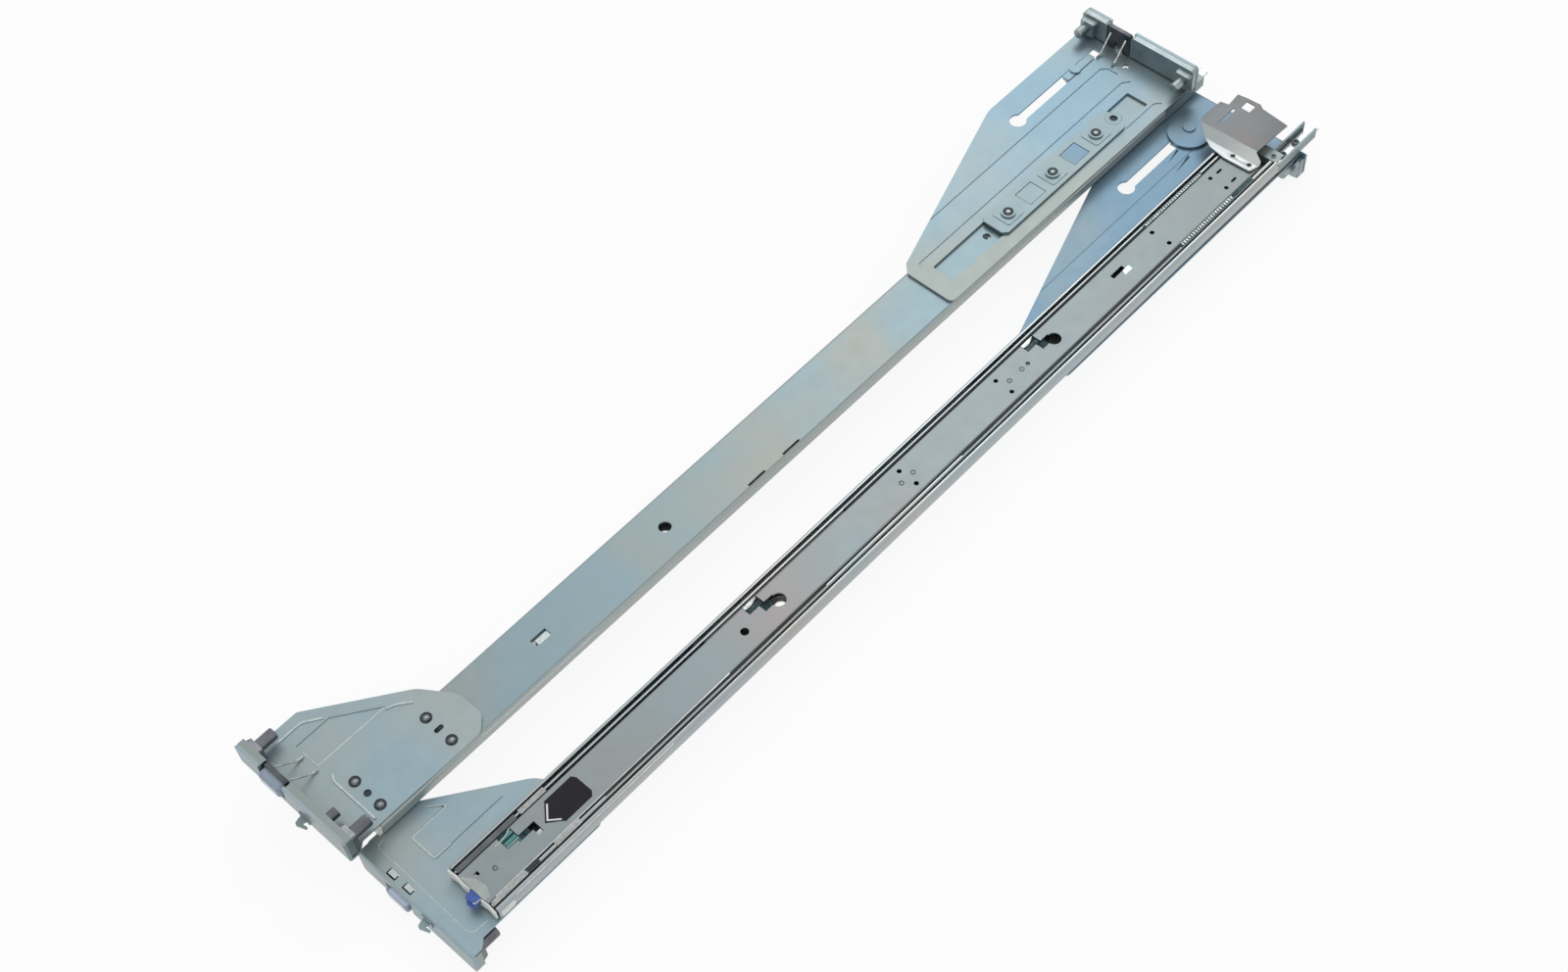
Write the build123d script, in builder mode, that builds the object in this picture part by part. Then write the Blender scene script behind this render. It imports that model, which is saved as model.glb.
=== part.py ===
from build123d import *
import os

os.makedirs("parts", exist_ok=True)

# Sliding server rail pair for a four-post rack, two rack units tall.
# Each rail is drawn in its own frame: X runs from the front flange to the rear
# flange, Y is up the rack from the centre line of the slide, Z = 0 is the back
# of the slide and +Z points to the server. The left rail lies server side up,
# the right rail is its mirror image with the rack side up.

# Rack and rail pair
rack_hole_span = 76.2
rack_hole_pitch = 15.875
rail_length = 711.0
right_rail_shift_x = -7.5
right_rail_shift_y = 80.7
rail_stack_gap = 0.3
body_gap = 0.3

# Telescoping slide
slide_width = 38.0
slide_height = 9.8
slide_front = 24.3
slide_rear_setback = 27.0
outer_sheet = 1.3
intermediate_sheet = 1.1
inner_sheet = 1.1
outer_lip = 2.6
intermediate_width = 30.8
intermediate_lip = 2.3
intermediate_setback = 1.0
inner_width = 23.8
inner_wall_height = 5.8
inner_rear_setback = 11.7
web_gap = 0.5
ball_clearance = 0.1
ball_pitch = 32.0
balls_per_row = 4
cage_sheet = 0.6
outer_cage_start = 200.0
outer_cage_length = 230.0
inner_cage_upper_start = 206.0
inner_cage_lower_start = 276.0
inner_cage_length = 112.0

# Slots and holes of the inner member, along the rail from the front flange
j_slot_middle_x = 250.9
j_slot_rear_setback = 222.8
j_slot_end_radius = 4.4
j_slot_entry_width = 11.0
j_slot_entry_offset = 11.8
j_slot_depth = 5.2
front_slot_entry_x = 55.3
front_slot_entry_width = 8.8
front_slot_leg_width = 3.5
front_slot_leg_end_x = 70.5
front_slot_drop = 3.8
web_port_x = 252.0
web_port_radius = 3.8
inner_round_hole_x = 224.0
inner_round_hole_radius = 2.5
bend_slit_x = 309.5
bend_slit_pitch = 28.6

# Bracket sheets
bracket_sheet = 1.5
flange_sheet = 2.0
flange_backing = 4.0
flange_depth = 19.0
flange_top = 65.0
flange_bottom = -22.6
plate_top = 65.5
plate_bottom = -18.4
bend_radius = 1.9
bead_height = 0.5
bead_width = 1.3

# Studs that enter the rack holes
upper_stud_y = 60.0
stud_radius = 3.6
rear_stud_radius = 3.3
stud_depth = 9.5
front_stud_reach = 14.8
rear_stud_reach = 11.5
stud_base_length = 3.4
locator_radius = 3.0
locator_reach = 6.6
block_height = 15.8
block_foot_height = 12.6

# Front bracket
front_rivet_x = 31.5
front_rivet_pitch = 50.1
front_rivet_y = 10.1
rivet_head_radius = 3.3
rivet_shank_radius = 2.0
rivet_clearance = 0.1
front_plate_end_x = 103.0

# Rear bracket, strap and keyhole slot
rear_bracket_length = 233.9
window_front_margin = 13.5
window_rear_margin = 31.6
window_half_height = 8.0
strap_length = 120.0
strap_rear_margin = 27.0
strap_half_height = 10.0
strap_sheet = 1.5
strap_rivet_margin = 14.5
strap_rivet_pitch = 42.75
shoulder_radius = 3.2
shoulder_head_radius = 4.6
keyhole_setback = 94.1
keyhole_y = 45.9
keyhole_radius = 5.5
key_slot_half = 3.3
key_slot_rear_margin = 14.0
slider_setback = 46.6
slider_length = 26.9
slider_half = 2.7
slider_head_radius = 3.6

# Latch in each flange
latch_y = 35.8
latch_notch = 19.0
latch_gap = 0.6
latch_sheet = 2.8
latch_leg = 5.6
notch_floor = 6.5
spring_wire_radius = 0.6

# Cable arm hardware at the rear of the slide; the bracket's bend runs askew by this slope
cma_plate_rise = 6.5
cma_sheet = 1.5
cma_slope = 0.106
cma_foot_length = 7.8
cma_foot_half = 8.4
cma_bend_offset = 5.35
arm_mount_length = 40.0
arm_mount_sheet = 1.2
tongue_length = 33.0

half_slide = slide_width / 2
slide_rear = rail_length - slide_rear_setback
half_intermediate = intermediate_width / 2
half_inner = inner_width / 2
lower_stud_y = upper_stud_y - rack_hole_span
intermediate_floor = outer_sheet + web_gap
inner_front = slide_front - body_gap
inner_rear = slide_rear - inner_rear_setback
outer_wall_inside = half_slide - outer_sheet
intermediate_wall_inside = half_intermediate - intermediate_sheet
rear_plate_top_z = -body_gap
rear_plate_back_z = rear_plate_top_z - bracket_sheet
notch_high_y = latch_y + latch_notch / 2
notch_low_y = latch_y - latch_notch / 2
block_top_y = flange_top - 0.2
block_bottom_y = flange_bottom + 0.2
locator_y = lower_stud_y + rack_hole_pitch
j_slot_rear_x = rail_length - j_slot_rear_setback
rear_bracket_front_x = rail_length - rear_bracket_length
window_start_x = rear_bracket_front_x + window_front_margin
window_end_x = rail_length - window_rear_margin
strap_end_x = slide_rear - strap_rear_margin
strap_start_x = strap_end_x - strap_length
strap_rivet_x = strap_start_x + strap_rivet_margin
keyhole_x = rail_length - keyhole_setback
key_slot_end_x = rail_length - key_slot_rear_margin
slider_start_x = rail_length - slider_setback

# Place of each rail above the floor, with the pair centred on the origin
pair_min_x = right_rail_shift_x - 6.0
pair_max_x = slide_rear + 16.0 + tongue_length
pair_min_y = flange_bottom
pair_max_y = right_rail_shift_y + plate_top
pair_centre_x = (pair_min_x + pair_max_x) / 2
pair_centre_y = (pair_min_y + pair_max_y) / 2
left_place = Location((-pair_centre_x, -pair_centre_y, flange_depth))
right_place = Location(
    (
        right_rail_shift_x - pair_centre_x,
        right_rail_shift_y - pair_centre_y,
        flange_depth + slide_height + rail_stack_gap,
    )
)


def channel(points, sheet, radius, start, end):
    """A roll-formed channel: the centre line of its half section, mirrored and extruded."""
    with BuildPart() as member:
        with BuildSketch(Plane.YZ.offset(start)):
            with BuildLine():
                left = [(-y, z) for y, z in reversed(points)]
                FilletPolyline(*left, *points, radius=radius)
            trace(line_width=sheet)
        extrude(amount=end - start)
    return member.part


def make_outer_member():
    """Outer member of the slide, with rivet holes, a sight hole and a lanced tab."""
    half = outer_sheet / 2
    wall = half_slide - half
    shell = channel(
        [
            (wall - 1.2, half),
            (wall, 2.2),
            (wall, slide_height - 2.4),
            (wall - 0.8, slide_height - half),
            (half_slide - outer_lip, slide_height - half),
        ],
        outer_sheet,
        0.7,
        slide_front,
        slide_rear,
    )
    with BuildPart() as outer_member:
        add(shell)
        with BuildSketch(Plane.XY):
            with Locations(
                *[(x, y) for x in front_rivet_places() for y in (-front_rivet_y, front_rivet_y)]
            ):
                Circle(rivet_shank_radius + rivet_clearance)
            with Locations(*[(x, 0) for x in strap_rivet_places()]):
                Circle(shoulder_radius - 0.7 + rivet_clearance)
            with Locations((web_port_x, 0)):
                Circle(web_port_radius)
            with Locations((strap_start_x - 5.8, 0), (strap_end_x - 2.0, 0)):
                Circle(2.5)
            with Locations((156.4, 0.8)):
                Rectangle(11.0, 5.2)
            with Locations(*[(bend_slit_x + i * bend_slit_pitch, 2.6 - half_slide) for i in range(2)]):
                SlotOverall(14.0, 1.4)
        extrude(amount=outer_sheet, mode=Mode.SUBTRACT)
        with BuildSketch(Plane.XY):
            with Locations((157.0, -0.6)):
                Rectangle(9.0, 4.0)
        extrude(amount=outer_sheet * 0.6)
    return outer_member.part


def front_rivet_places():
    """The two rivet stations of the front bracket along the rail."""
    return [front_rivet_x, front_rivet_x + front_rivet_pitch]


def strap_rivet_places():
    """The three shoulder rivets of the strap along the rail."""
    return [strap_rivet_x + i * strap_rivet_pitch for i in range(3)]


def make_intermediate_member():
    """Intermediate member, a channel that runs in the outer one and carries the inner one."""
    half = intermediate_sheet / 2
    wall = half_intermediate - half
    top = slide_height - 0.2 - half
    shell = channel(
        [
            (wall - 1.2, intermediate_floor + half),
            (wall, intermediate_floor + 1.9),
            (wall, slide_height - 2.4),
            (wall - 0.7, top),
            (half_intermediate - intermediate_lip, top),
        ],
        intermediate_sheet,
        0.6,
        slide_front,
        slide_rear - intermediate_setback,
    )
    with BuildPart() as intermediate_member:
        add(shell)
        with BuildSketch(Plane.XY.offset(intermediate_floor)):
            with Locations((web_port_x, 0)):
                Circle(web_port_radius + 2.0)
            with Locations((slide_front + 60.0, 0), (slide_rear - 80.0, 0)):
                SlotOverall(24.0, 8.0)
        extrude(amount=intermediate_sheet, mode=Mode.SUBTRACT)
    return intermediate_member.part


def make_inner_member():
    """Inner member that the server's pins drop into, through three J-shaped slots."""
    half = inner_sheet / 2
    wall = half_inner - half
    top = slide_height - half
    shell = channel(
        [
            (wall, top),
            (wall, slide_height - inner_wall_height + 1.2),
            (wall - 1.1, slide_height - inner_wall_height + half),
        ],
        inner_sheet,
        0.6,
        inner_front,
        inner_rear,
    )
    web_bottom = slide_height - inner_sheet
    slot_cut = inner_sheet + 1.2
    with BuildPart() as inner_member:
        add(shell)
        # Middle and rear slots: a mouth in the upper edge, a leg and a round end
        with BuildSketch(Plane.XY.offset(slide_height)):
            for end_x in (j_slot_middle_x, j_slot_rear_x):
                with Locations((end_x, 0)):
                    Circle(j_slot_end_radius)
                with Locations((end_x - j_slot_entry_offset, (half_inner + j_slot_depth) / 2)):
                    Rectangle(j_slot_entry_width, half_inner - j_slot_depth)
                with Locations((end_x - 5.0, j_slot_depth / 2)):
                    Rectangle(10.0, j_slot_depth)
        extrude(amount=-slot_cut, mode=Mode.SUBTRACT)
        # Front slot: a mouth, a leg towards the rear and a short drop at its end
        with BuildSketch(Plane.XY.offset(slide_height)):
            with Locations((front_slot_entry_x, (half_inner + 2.6) / 2)):
                Rectangle(front_slot_entry_width, half_inner - 2.6)
            leg_start = front_slot_entry_x + front_slot_entry_width / 2 - 2.0
            leg_length = front_slot_leg_end_x - leg_start
            with Locations((leg_start + leg_length / 2, front_slot_leg_width / 2 + 0.9)):
                Rectangle(leg_length, front_slot_leg_width)
            with Locations((front_slot_leg_end_x - front_slot_leg_width / 2, 0.3)):
                Rectangle(front_slot_leg_width, 2 * front_slot_drop)
        extrude(amount=-slot_cut, mode=Mode.SUBTRACT)
        # Round holes, small slots and the lanced tab of the web
        with BuildSketch(Plane.XY.offset(slide_height)):
            with Locations((inner_round_hole_x, 0)):
                Circle(inner_round_hole_radius)
            with Locations(*[(x, y) for x in (357.8, inner_rear - 82.3) for y in (-6.4, 6.4)]):
                Circle(1.5)
            with Locations(*[(x, y) for x in (j_slot_rear_x - 46.0, inner_rear - 24.6) for y in (-6.0, 6.0)]):
                Circle(1.4)
            with Locations((j_slot_rear_x - 24.2, 0)):
                Circle(1.4)
            with Locations((30.9, 4.6)):
                Rectangle(2.6, 2.4)
            with Locations((inner_rear - 16.4, 5.5), (inner_rear - 16.4, -5.5)):
                SlotOverall(5.0, 1.6)
            with Locations((inner_rear - 120.3, 3.0)):
                Rectangle(11.0, 3.0)
        extrude(amount=-inner_sheet, mode=Mode.SUBTRACT)
        # Ring-shaped dimples round the locating pips
        with BuildSketch(Plane.XY.offset(slide_height)):
            pips = (39.5, 352.5, 362.3, j_slot_rear_x - 40.7, j_slot_rear_x - 29.6)
            with Locations(*[(x, 0) for x in pips]):
                Circle(1.7)
                Circle(0.8, mode=Mode.SUBTRACT)
        extrude(amount=-0.4, mode=Mode.SUBTRACT)
    return inner_member.part, web_bottom


def cage_rows():
    """Height, wall radius and row offsets of the two ball sets."""
    outer_radius = (outer_wall_inside - half_intermediate) / 2 - ball_clearance
    inner_radius = (intermediate_wall_inside - half_inner) / 2 - ball_clearance
    outer_y = (outer_wall_inside + half_intermediate) / 2
    inner_y = (intermediate_wall_inside + half_inner) / 2
    return outer_radius, outer_y, inner_radius, inner_y


def make_outer_cage():
    """Two strips that hold the outer balls, one along each edge."""
    radius, row_y, _, _ = cage_rows()
    ball_z = slide_height / 2
    with BuildPart() as outer_cage:
        for side in (-1, 1):
            with BuildSketch(Plane.XY.offset(ball_z - 1.9)):
                with Locations((outer_cage_start + outer_cage_length / 2, side * row_y)):
                    Rectangle(outer_cage_length, cage_sheet)
            extrude(amount=3.8)
        with Locations(*[(x, side * row_y, ball_z) for side in (-1, 1) for x in outer_ball_places()]):
            Box(2 * radius + 0.4, 4 * radius, 2 * radius + 0.4, mode=Mode.SUBTRACT)
    return outer_cage.part


def outer_ball_places():
    """Ball stations of the outer rows along the rail."""
    first = outer_cage_start + outer_cage_length / 2 - ball_pitch * (balls_per_row - 1) / 2
    return [first + i * ball_pitch for i in range(balls_per_row)]


def inner_ball_places(start):
    """Ball stations of one inner row along the rail."""
    pitch = inner_cage_length / (balls_per_row + 1)
    return [start + (i + 1) * pitch for i in range(balls_per_row)]


def make_inner_cage():
    """Folded cage of the inner balls: a web under the inner member and two staggered arms."""
    _, _, radius, row_y = cage_rows()
    web_z = intermediate_floor + intermediate_sheet + 0.4
    arm_top = 7.6
    ball_z = 5.8
    lower_end = inner_cage_lower_start + inner_cage_length
    starts = {1: inner_cage_upper_start, -1: inner_cage_lower_start}
    with BuildPart() as inner_cage:
        with BuildSketch(Plane.XY.offset(web_z)):
            with Locations(((inner_cage_upper_start + lower_end) / 2, 0)):
                Rectangle(lower_end - inner_cage_upper_start, 2 * row_y + cage_sheet)
            with Locations(((inner_cage_upper_start + lower_end) / 2, 0)):
                SlotOverall(lower_end - inner_cage_upper_start - 24.0, 12.0, mode=Mode.SUBTRACT)
        extrude(amount=cage_sheet)
        for side, start in starts.items():
            with BuildSketch(Plane.XY.offset(web_z)):
                with Locations((start + inner_cage_length / 2, side * row_y)):
                    Rectangle(inner_cage_length, cage_sheet)
            extrude(amount=arm_top - web_z)
        places = [(x, side * row_y, ball_z) for side, s in starts.items() for x in inner_ball_places(s)]
        with Locations(*places):
            Box(2 * radius + 0.4, 4 * radius, 2 * radius + 0.4, mode=Mode.SUBTRACT)
    return inner_cage.part


def make_balls(places, radius):
    """Separate steel balls at the given places."""
    with BuildPart() as balls:
        with Locations(*places):
            Sphere(radius)
    return balls.part


def bead(points, face_z, height):
    """A slim pressed line along the given points, from a face to the given height."""
    with BuildPart() as pressed_line:
        with BuildSketch(Plane.XY.offset(face_z)):
            with BuildLine():
                FilletPolyline(*points, radius=1.5)
            trace(line_width=bead_width)
        extrude(amount=height)
    return pressed_line.part


def make_front_bracket():
    """Front bracket: a tapered plate folded into the flange that meets the rack post."""
    with BuildPart() as front_bracket:
        with BuildSketch(Plane.XY.offset(-bracket_sheet)):
            with BuildLine():
                FilletPolyline(
                    (0, flange_bottom),
                    (7.0, flange_bottom),
                    (12.0, plate_bottom),
                    (front_plate_end_x - 8.0, plate_bottom),
                    (front_plate_end_x, -10.4),
                    (front_plate_end_x, 8.0),
                    (90.0, 27.6),
                    (37.9, plate_top),
                    (8.0, plate_top),
                    (8.0, flange_top),
                    (0, flange_top),
                    radius=[0, 2, 2, 6, 6, 16, 18, 4, 0, 0, 0],
                    close=True,
                )
            make_face()
        extrude(amount=bracket_sheet)
        with BuildSketch(Plane.YZ):
            with Locations(((flange_top + flange_bottom) / 2, -flange_depth / 2)):
                Rectangle(flange_top - flange_bottom, flange_depth)
        extrude(amount=flange_sheet)
        bend = front_bracket.edges().filter_by(Axis.Y).group_by(Axis.X)[0].sort_by(Axis.Z)[-1]
        fillet(bend, bend_radius)
        tips = front_bracket.edges().filter_by(Axis.X).group_by(Axis.Z)[0]
        fillet(tips, 3.0)
        # Notch for the latch in the flange, and windows for its legs in the plate
        with BuildSketch(Plane.YZ):
            with Locations((latch_y, -(flange_depth + notch_floor) / 2)):
                Rectangle(latch_notch, flange_depth - notch_floor)
        extrude(amount=flange_sheet, mode=Mode.SUBTRACT)
        with BuildSketch(Plane.XY.offset(-bracket_sheet)):
            for side in (-1, 1):
                with Locations((flange_sheet + 2.3, latch_y + side * (latch_notch - latch_leg - 1.2) / 2)):
                    Rectangle(4.2, latch_leg + 1.2)
        extrude(amount=bracket_sheet, mode=Mode.SUBTRACT)
        # Rivet seats, gauge hole and slot
        with BuildSketch(Plane.XY.offset(-bracket_sheet)):
            with Locations(
                *[(x, y) for x in front_rivet_places() for y in (-front_rivet_y, front_rivet_y)]
            ):
                Circle(rivet_head_radius + rivet_clearance)
            with Locations((front_rivet_x, 0)):
                Circle(2.2)
            with Locations((front_rivet_x + front_rivet_pitch, 0)):
                SlotOverall(6.0, 3.0)
        extrude(amount=bracket_sheet, mode=Mode.SUBTRACT)
        # Stiffening panel pressed towards the server
        panel = [(24.4, 49.8), (24.4, 33.4), (26.0, 31.9), (72.0, 31.9), (47.4, 49.8)]
        with BuildSketch(Plane.XY):
            Polygon(*panel, align=None)
        extrude(amount=bead_height)
        with BuildSketch(Plane.XY.offset(-bracket_sheet)):
            Polygon(*panel, align=None)
        extrude(amount=bead_height, mode=Mode.SUBTRACT)
        # Pressed lines above the panel, past its rear corner and at the front end of the slide
        for points in (
            [(9.5, 58.6), (35.5, 58.6), (45.2, 51.8)],
            [(70.6, 30.6), (76.0, 28.6), (83.6, 22.4)],
            [(24.4, -14.5), (24.4, 18.0), (26.4, 22.4)],
        ):
            add(bead(points, -bracket_sheet, -bead_height))
    return front_bracket.part


def make_stud_block(sheet_face, direction, plate_face, low_y, high_y, posts):
    """Die-cast block behind a flange; posts is a list of (height, radius, reach, base width)."""
    post_z = plate_face - stud_depth
    stack_face = sheet_face + direction * flange_backing
    with BuildPart() as stud_block:
        with BuildSketch(Plane.YZ.offset(sheet_face)):
            with Locations(((low_y + high_y) / 2, 0.2 - flange_depth + block_height / 2)):
                Rectangle(high_y - low_y, block_height)
        extrude(amount=direction * flange_backing)
        corners = stud_block.edges().filter_by(Axis.X).group_by(Axis.Z)[0]
        fillet(corners, 2.0)
        for post_y, radius, reach, base_width in posts:
            base_y = min(max(post_y, low_y + base_width / 2), high_y - base_width / 2)
            if base_width > 2 * radius:
                with BuildSketch(Plane.YZ.offset(stack_face)):
                    with Locations((base_y, post_z)):
                        RectangleRounded(base_width, block_foot_height, 2.0)
                extrude(amount=direction * stud_base_length, taper=14)
            with BuildSketch(Plane.YZ.offset(stack_face)):
                with Locations((post_y, post_z)):
                    Circle(radius)
            extrude(amount=direction * reach)
        posts_out = stud_block.faces().filter_by(Axis.X).sort_by(Axis.X)
        end = posts_out[-1] if direction > 0 else posts_out[0]
        fillet(end.edges(), 1.0)
    return stud_block.part


def make_latch(sheet_x):
    """Latch plate that stands in the flange notch on two legs; sheet_x is its front face."""
    half = latch_notch / 2 - latch_gap
    with BuildPart() as latch:
        with BuildSketch(Plane.YZ.offset(sheet_x)):
            with Locations((latch_y, -(flange_depth - 0.4 + notch_floor + 0.6) / 2)):
                Rectangle(2 * half, flange_depth - 0.4 - notch_floor - 0.6)
            for side in (-1, 1):
                with Locations((latch_y + side * (half - latch_leg / 2), -(notch_floor + 1.0) / 2)):
                    Rectangle(latch_leg, notch_floor + 1.0)
        extrude(amount=latch_sheet)
        crest = latch.edges().filter_by(Axis.X).group_by(Axis.Z)[0]
        fillet(crest, 1.6)
    return latch.part


def make_latch_button(back_x):
    """Moulded release button on the front of the latch plate."""
    with BuildPart() as latch_button:
        with BuildSketch(Plane.YZ.offset(back_x)):
            with Locations((latch_y, -13.0)):
                RectangleRounded(latch_notch - 2.2, 9.0, 2.5)
        extrude(amount=-(back_x + 2.4))
        nose = latch_button.faces().sort_by(Axis.X)[0].edges()
        fillet(nose, 1.8)
    return latch_button.part


def make_latch_spring(start, end):
    """Two parallel spring wires between the bracket plate and the latch plate."""
    with BuildPart() as latch_spring:
        for side in (-1, 1):
            wire_y = latch_y + side * 5.9
            direction = Vector(end[0] - start[0], 0, end[1] - start[1])
            with BuildSketch(Plane((start[0], wire_y, start[1]), z_dir=direction)):
                Circle(spring_wire_radius)
            extrude(amount=direction.length)
    return latch_spring.part


def make_server_hook():
    """Flat hook on the front flange that the latch of the server's ear catches."""
    with BuildPart() as server_hook:
        with BuildSketch(Plane.XY.offset(-6.0)):
            Polygon(
                (0, 9.6), (0, 13.8), (-2.6, 13.8), (-5.4, 13.0), (-6.0, 11.6),
                (-4.0, 6.2), (-2.8, 6.4), (-3.4, 10.2), (-1.6, 9.6),
                align=None,
            )
        extrude(amount=1.6)
        with BuildSketch(Plane.YZ):
            with Locations((11.6, -5.2)):
                RectangleRounded(8.0, 6.0, 1.0)
        extrude(amount=-0.8)
    return server_hook.part


def make_front_rivets():
    """Four flush rivets that join the front bracket to the outer member."""
    with BuildPart() as front_rivets:
        places = [(x, y) for x in front_rivet_places() for y in (-front_rivet_y, front_rivet_y)]
        with BuildSketch(Plane.XY.offset(-bracket_sheet - 0.2)):
            with Locations(*places):
                Circle(rivet_head_radius)
        extrude(amount=bracket_sheet + 0.2)
        with BuildSketch(Plane.XY):
            with Locations(*places):
                Circle(rivet_shank_radius)
        extrude(amount=outer_sheet + 0.2)
        with BuildSketch(Plane.XY.offset(-bracket_sheet - 0.2)):
            with Locations(*places):
                Circle(1.2)
        extrude(amount=0.8, mode=Mode.SUBTRACT)
    return front_rivets.part


def make_bumper(lever_bottom, lever_low_y, lever_high_y):
    """Moulded bumper on the front end of the inner member, with a window for the lever."""
    plate_front = inner_front - 2.6
    with BuildPart() as bumper:
        with BuildSketch(Plane.YZ.offset(plate_front)):
            with Locations((0, slide_height / 2 + 0.3)):
                RectangleRounded(slide_width - 1.6, slide_height - 0.8, 1.4)
        extrude(amount=2.6)
        with BuildSketch(Plane.YZ.offset(inner_front)):
            with Locations((0, 6.5)):
                Rectangle(inner_width - 2 * inner_sheet - 3.0, 3.8)
        extrude(amount=7.0)
        with BuildSketch(Plane.YZ.offset(plate_front)):
            with Locations(((lever_low_y + lever_high_y) / 2, (lever_bottom + slide_height) / 2)):
                Rectangle(lever_high_y - lever_low_y + 1.0, slide_height - lever_bottom + 0.8)
        extrude(amount=2.6 + 7.0, mode=Mode.SUBTRACT)
    return bumper.part


def make_release_lever(bottom, low_y, high_y):
    """Steel bar under the inner member that the blue tab pulls."""
    mid_y = (low_y + high_y) / 2
    with BuildPart() as release_lever:
        with BuildSketch(Plane.XY.offset(bottom)):
            with Locations((68.0, mid_y)):
                Rectangle(98.0, high_y - low_y)
            with Locations((84.0, mid_y)):
                SlotOverall(20.0, 3.0, mode=Mode.SUBTRACT)
        extrude(amount=1.2)
        with BuildSketch(Plane.XY.offset(bottom - 1.6)):
            with Locations((112.0, mid_y)):
                Rectangle(8.0, high_y - low_y)
        extrude(amount=1.6)
    return release_lever.part


def make_release_tab(bottom, low_y, high_y):
    """Blue moulded tab on the front end of the release lever."""
    mid_y = (low_y + high_y) / 2
    with BuildPart() as release_tab:
        with BuildSketch(Plane.XY.offset(bottom - 2.2)):
            with BuildLine():
                FilletPolyline(
                    (18.9, mid_y + 3.9), (12.4, mid_y + 3.9), (12.4, mid_y - 1.5),
                    (15.0, mid_y - 3.9), (18.9, mid_y - 3.9),
                    radius=1.0, close=True,
                )
            make_face()
        extrude(amount=4.2)
        with Locations(*[(x, mid_y, bottom + 2.0) for x in (13.9, 15.5, 17.1)]):
            Box(0.6, 5.4, 0.8, mode=Mode.SUBTRACT)
    return release_tab.part


def make_lock_leaf(web_bottom):
    """Spring leaf whose nose closes the mouth of the front slot behind the server's pin."""
    leaf_top = web_bottom - body_gap
    with BuildPart() as lock_leaf:
        with BuildSketch(Plane.XY.offset(leaf_top - 1.0)):
            with Locations((front_slot_entry_x, 6.0)):
                Rectangle(17.0, 8.6)
        extrude(amount=1.0)
        with BuildSketch(Plane.XY.offset(leaf_top)):
            with Locations((front_slot_entry_x, 7.4)):
                Rectangle(front_slot_entry_width - 2 * body_gap - 0.6, 5.4)
        extrude(amount=1.0)
    return lock_leaf.part


def make_rear_bracket():
    """Rear bracket with its long window, keyhole slot, pressed lines and flange."""
    with BuildPart() as rear_bracket:
        with BuildSketch(Plane.XY.offset(rear_plate_back_z)):
            with BuildLine():
                FilletPolyline(
                    (rear_bracket_front_x, plate_bottom),
                    (rail_length, plate_bottom - 1.1),
                    (rail_length, flange_top),
                    (rail_length - 8.0, flange_top),
                    (rail_length - 8.0, plate_top),
                    (rail_length - 99.6, plate_top),
                    (rear_bracket_front_x + 5.3, 22.2),
                    (rear_bracket_front_x, 16.3),
                    radius=[4, 0, 0, 0, 0, 22, 3, 3],
                    close=True,
                )
            make_face()
            with Locations(((window_start_x + window_end_x) / 2, 0)):
                RectangleRounded(window_end_x - window_start_x, 2 * window_half_height, 1.0,
                                 mode=Mode.SUBTRACT)
            with Locations((keyhole_x, keyhole_y)):
                Circle(keyhole_radius, mode=Mode.SUBTRACT)
            with Locations(((keyhole_x + key_slot_end_x) / 2, keyhole_y)):
                Rectangle(key_slot_end_x - keyhole_x, 2 * key_slot_half, mode=Mode.SUBTRACT)
            with Locations((rail_length - 14.0, 23.1)):
                Circle(2.0, mode=Mode.SUBTRACT)
        extrude(amount=bracket_sheet)
        flange_height = flange_depth + rear_plate_top_z
        with BuildSketch(Plane.YZ.offset(rail_length - flange_sheet)):
            with Locations(((flange_top + flange_bottom) / 2, (rear_plate_top_z - flange_depth) / 2)):
                Rectangle(flange_top - flange_bottom, flange_height)
        extrude(amount=flange_sheet)
        bend = rear_bracket.edges().filter_by(Axis.Y).group_by(Axis.X)[-1].sort_by(Axis.Z)[-1]
        fillet(bend, bend_radius)
        tips = rear_bracket.edges().filter_by(Axis.X).group_by(Axis.Z)[0]
        fillet(tips, 3.0)
        with BuildSketch(Plane.YZ.offset(rail_length - flange_sheet)):
            with Locations((latch_y, -(flange_depth + notch_floor) / 2)):
                Rectangle(latch_notch, flange_depth - notch_floor)
        extrude(amount=flange_sheet, mode=Mode.SUBTRACT)
        with BuildSketch(Plane.XY.offset(rear_plate_back_z)):
            for side in (-1, 1):
                offset_y = side * (latch_notch - latch_leg - 1.2) / 2
                with Locations((rail_length - flange_sheet - 2.3, latch_y + offset_y)):
                    Rectangle(4.2, latch_leg + 1.2)
        extrude(amount=bracket_sheet, mode=Mode.SUBTRACT)
        # Pressed lines in the rack face, above the window, below the keyhole slot and at the rear end
        line_end_x = rail_length - 23.0
        for points in (
            [(window_start_x - 6.0, 12.6), (window_start_x - 3.0, 15.8), (line_end_x - 4.0, 15.8),
             (line_end_x, 12.4)],
            [(rear_bracket_front_x + 40.0, 33.7), (line_end_x - 3.0, 33.7), (line_end_x, 30.7),
             (line_end_x, 22.8)],
            [(line_end_x - 34.0, -11.0), (line_end_x - 6.0, -11.0), (line_end_x - 2.5, -14.2)],
        ):
            add(bead(points, rear_plate_back_z, bead_height), mode=Mode.SUBTRACT)
    return rear_bracket.part


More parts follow.
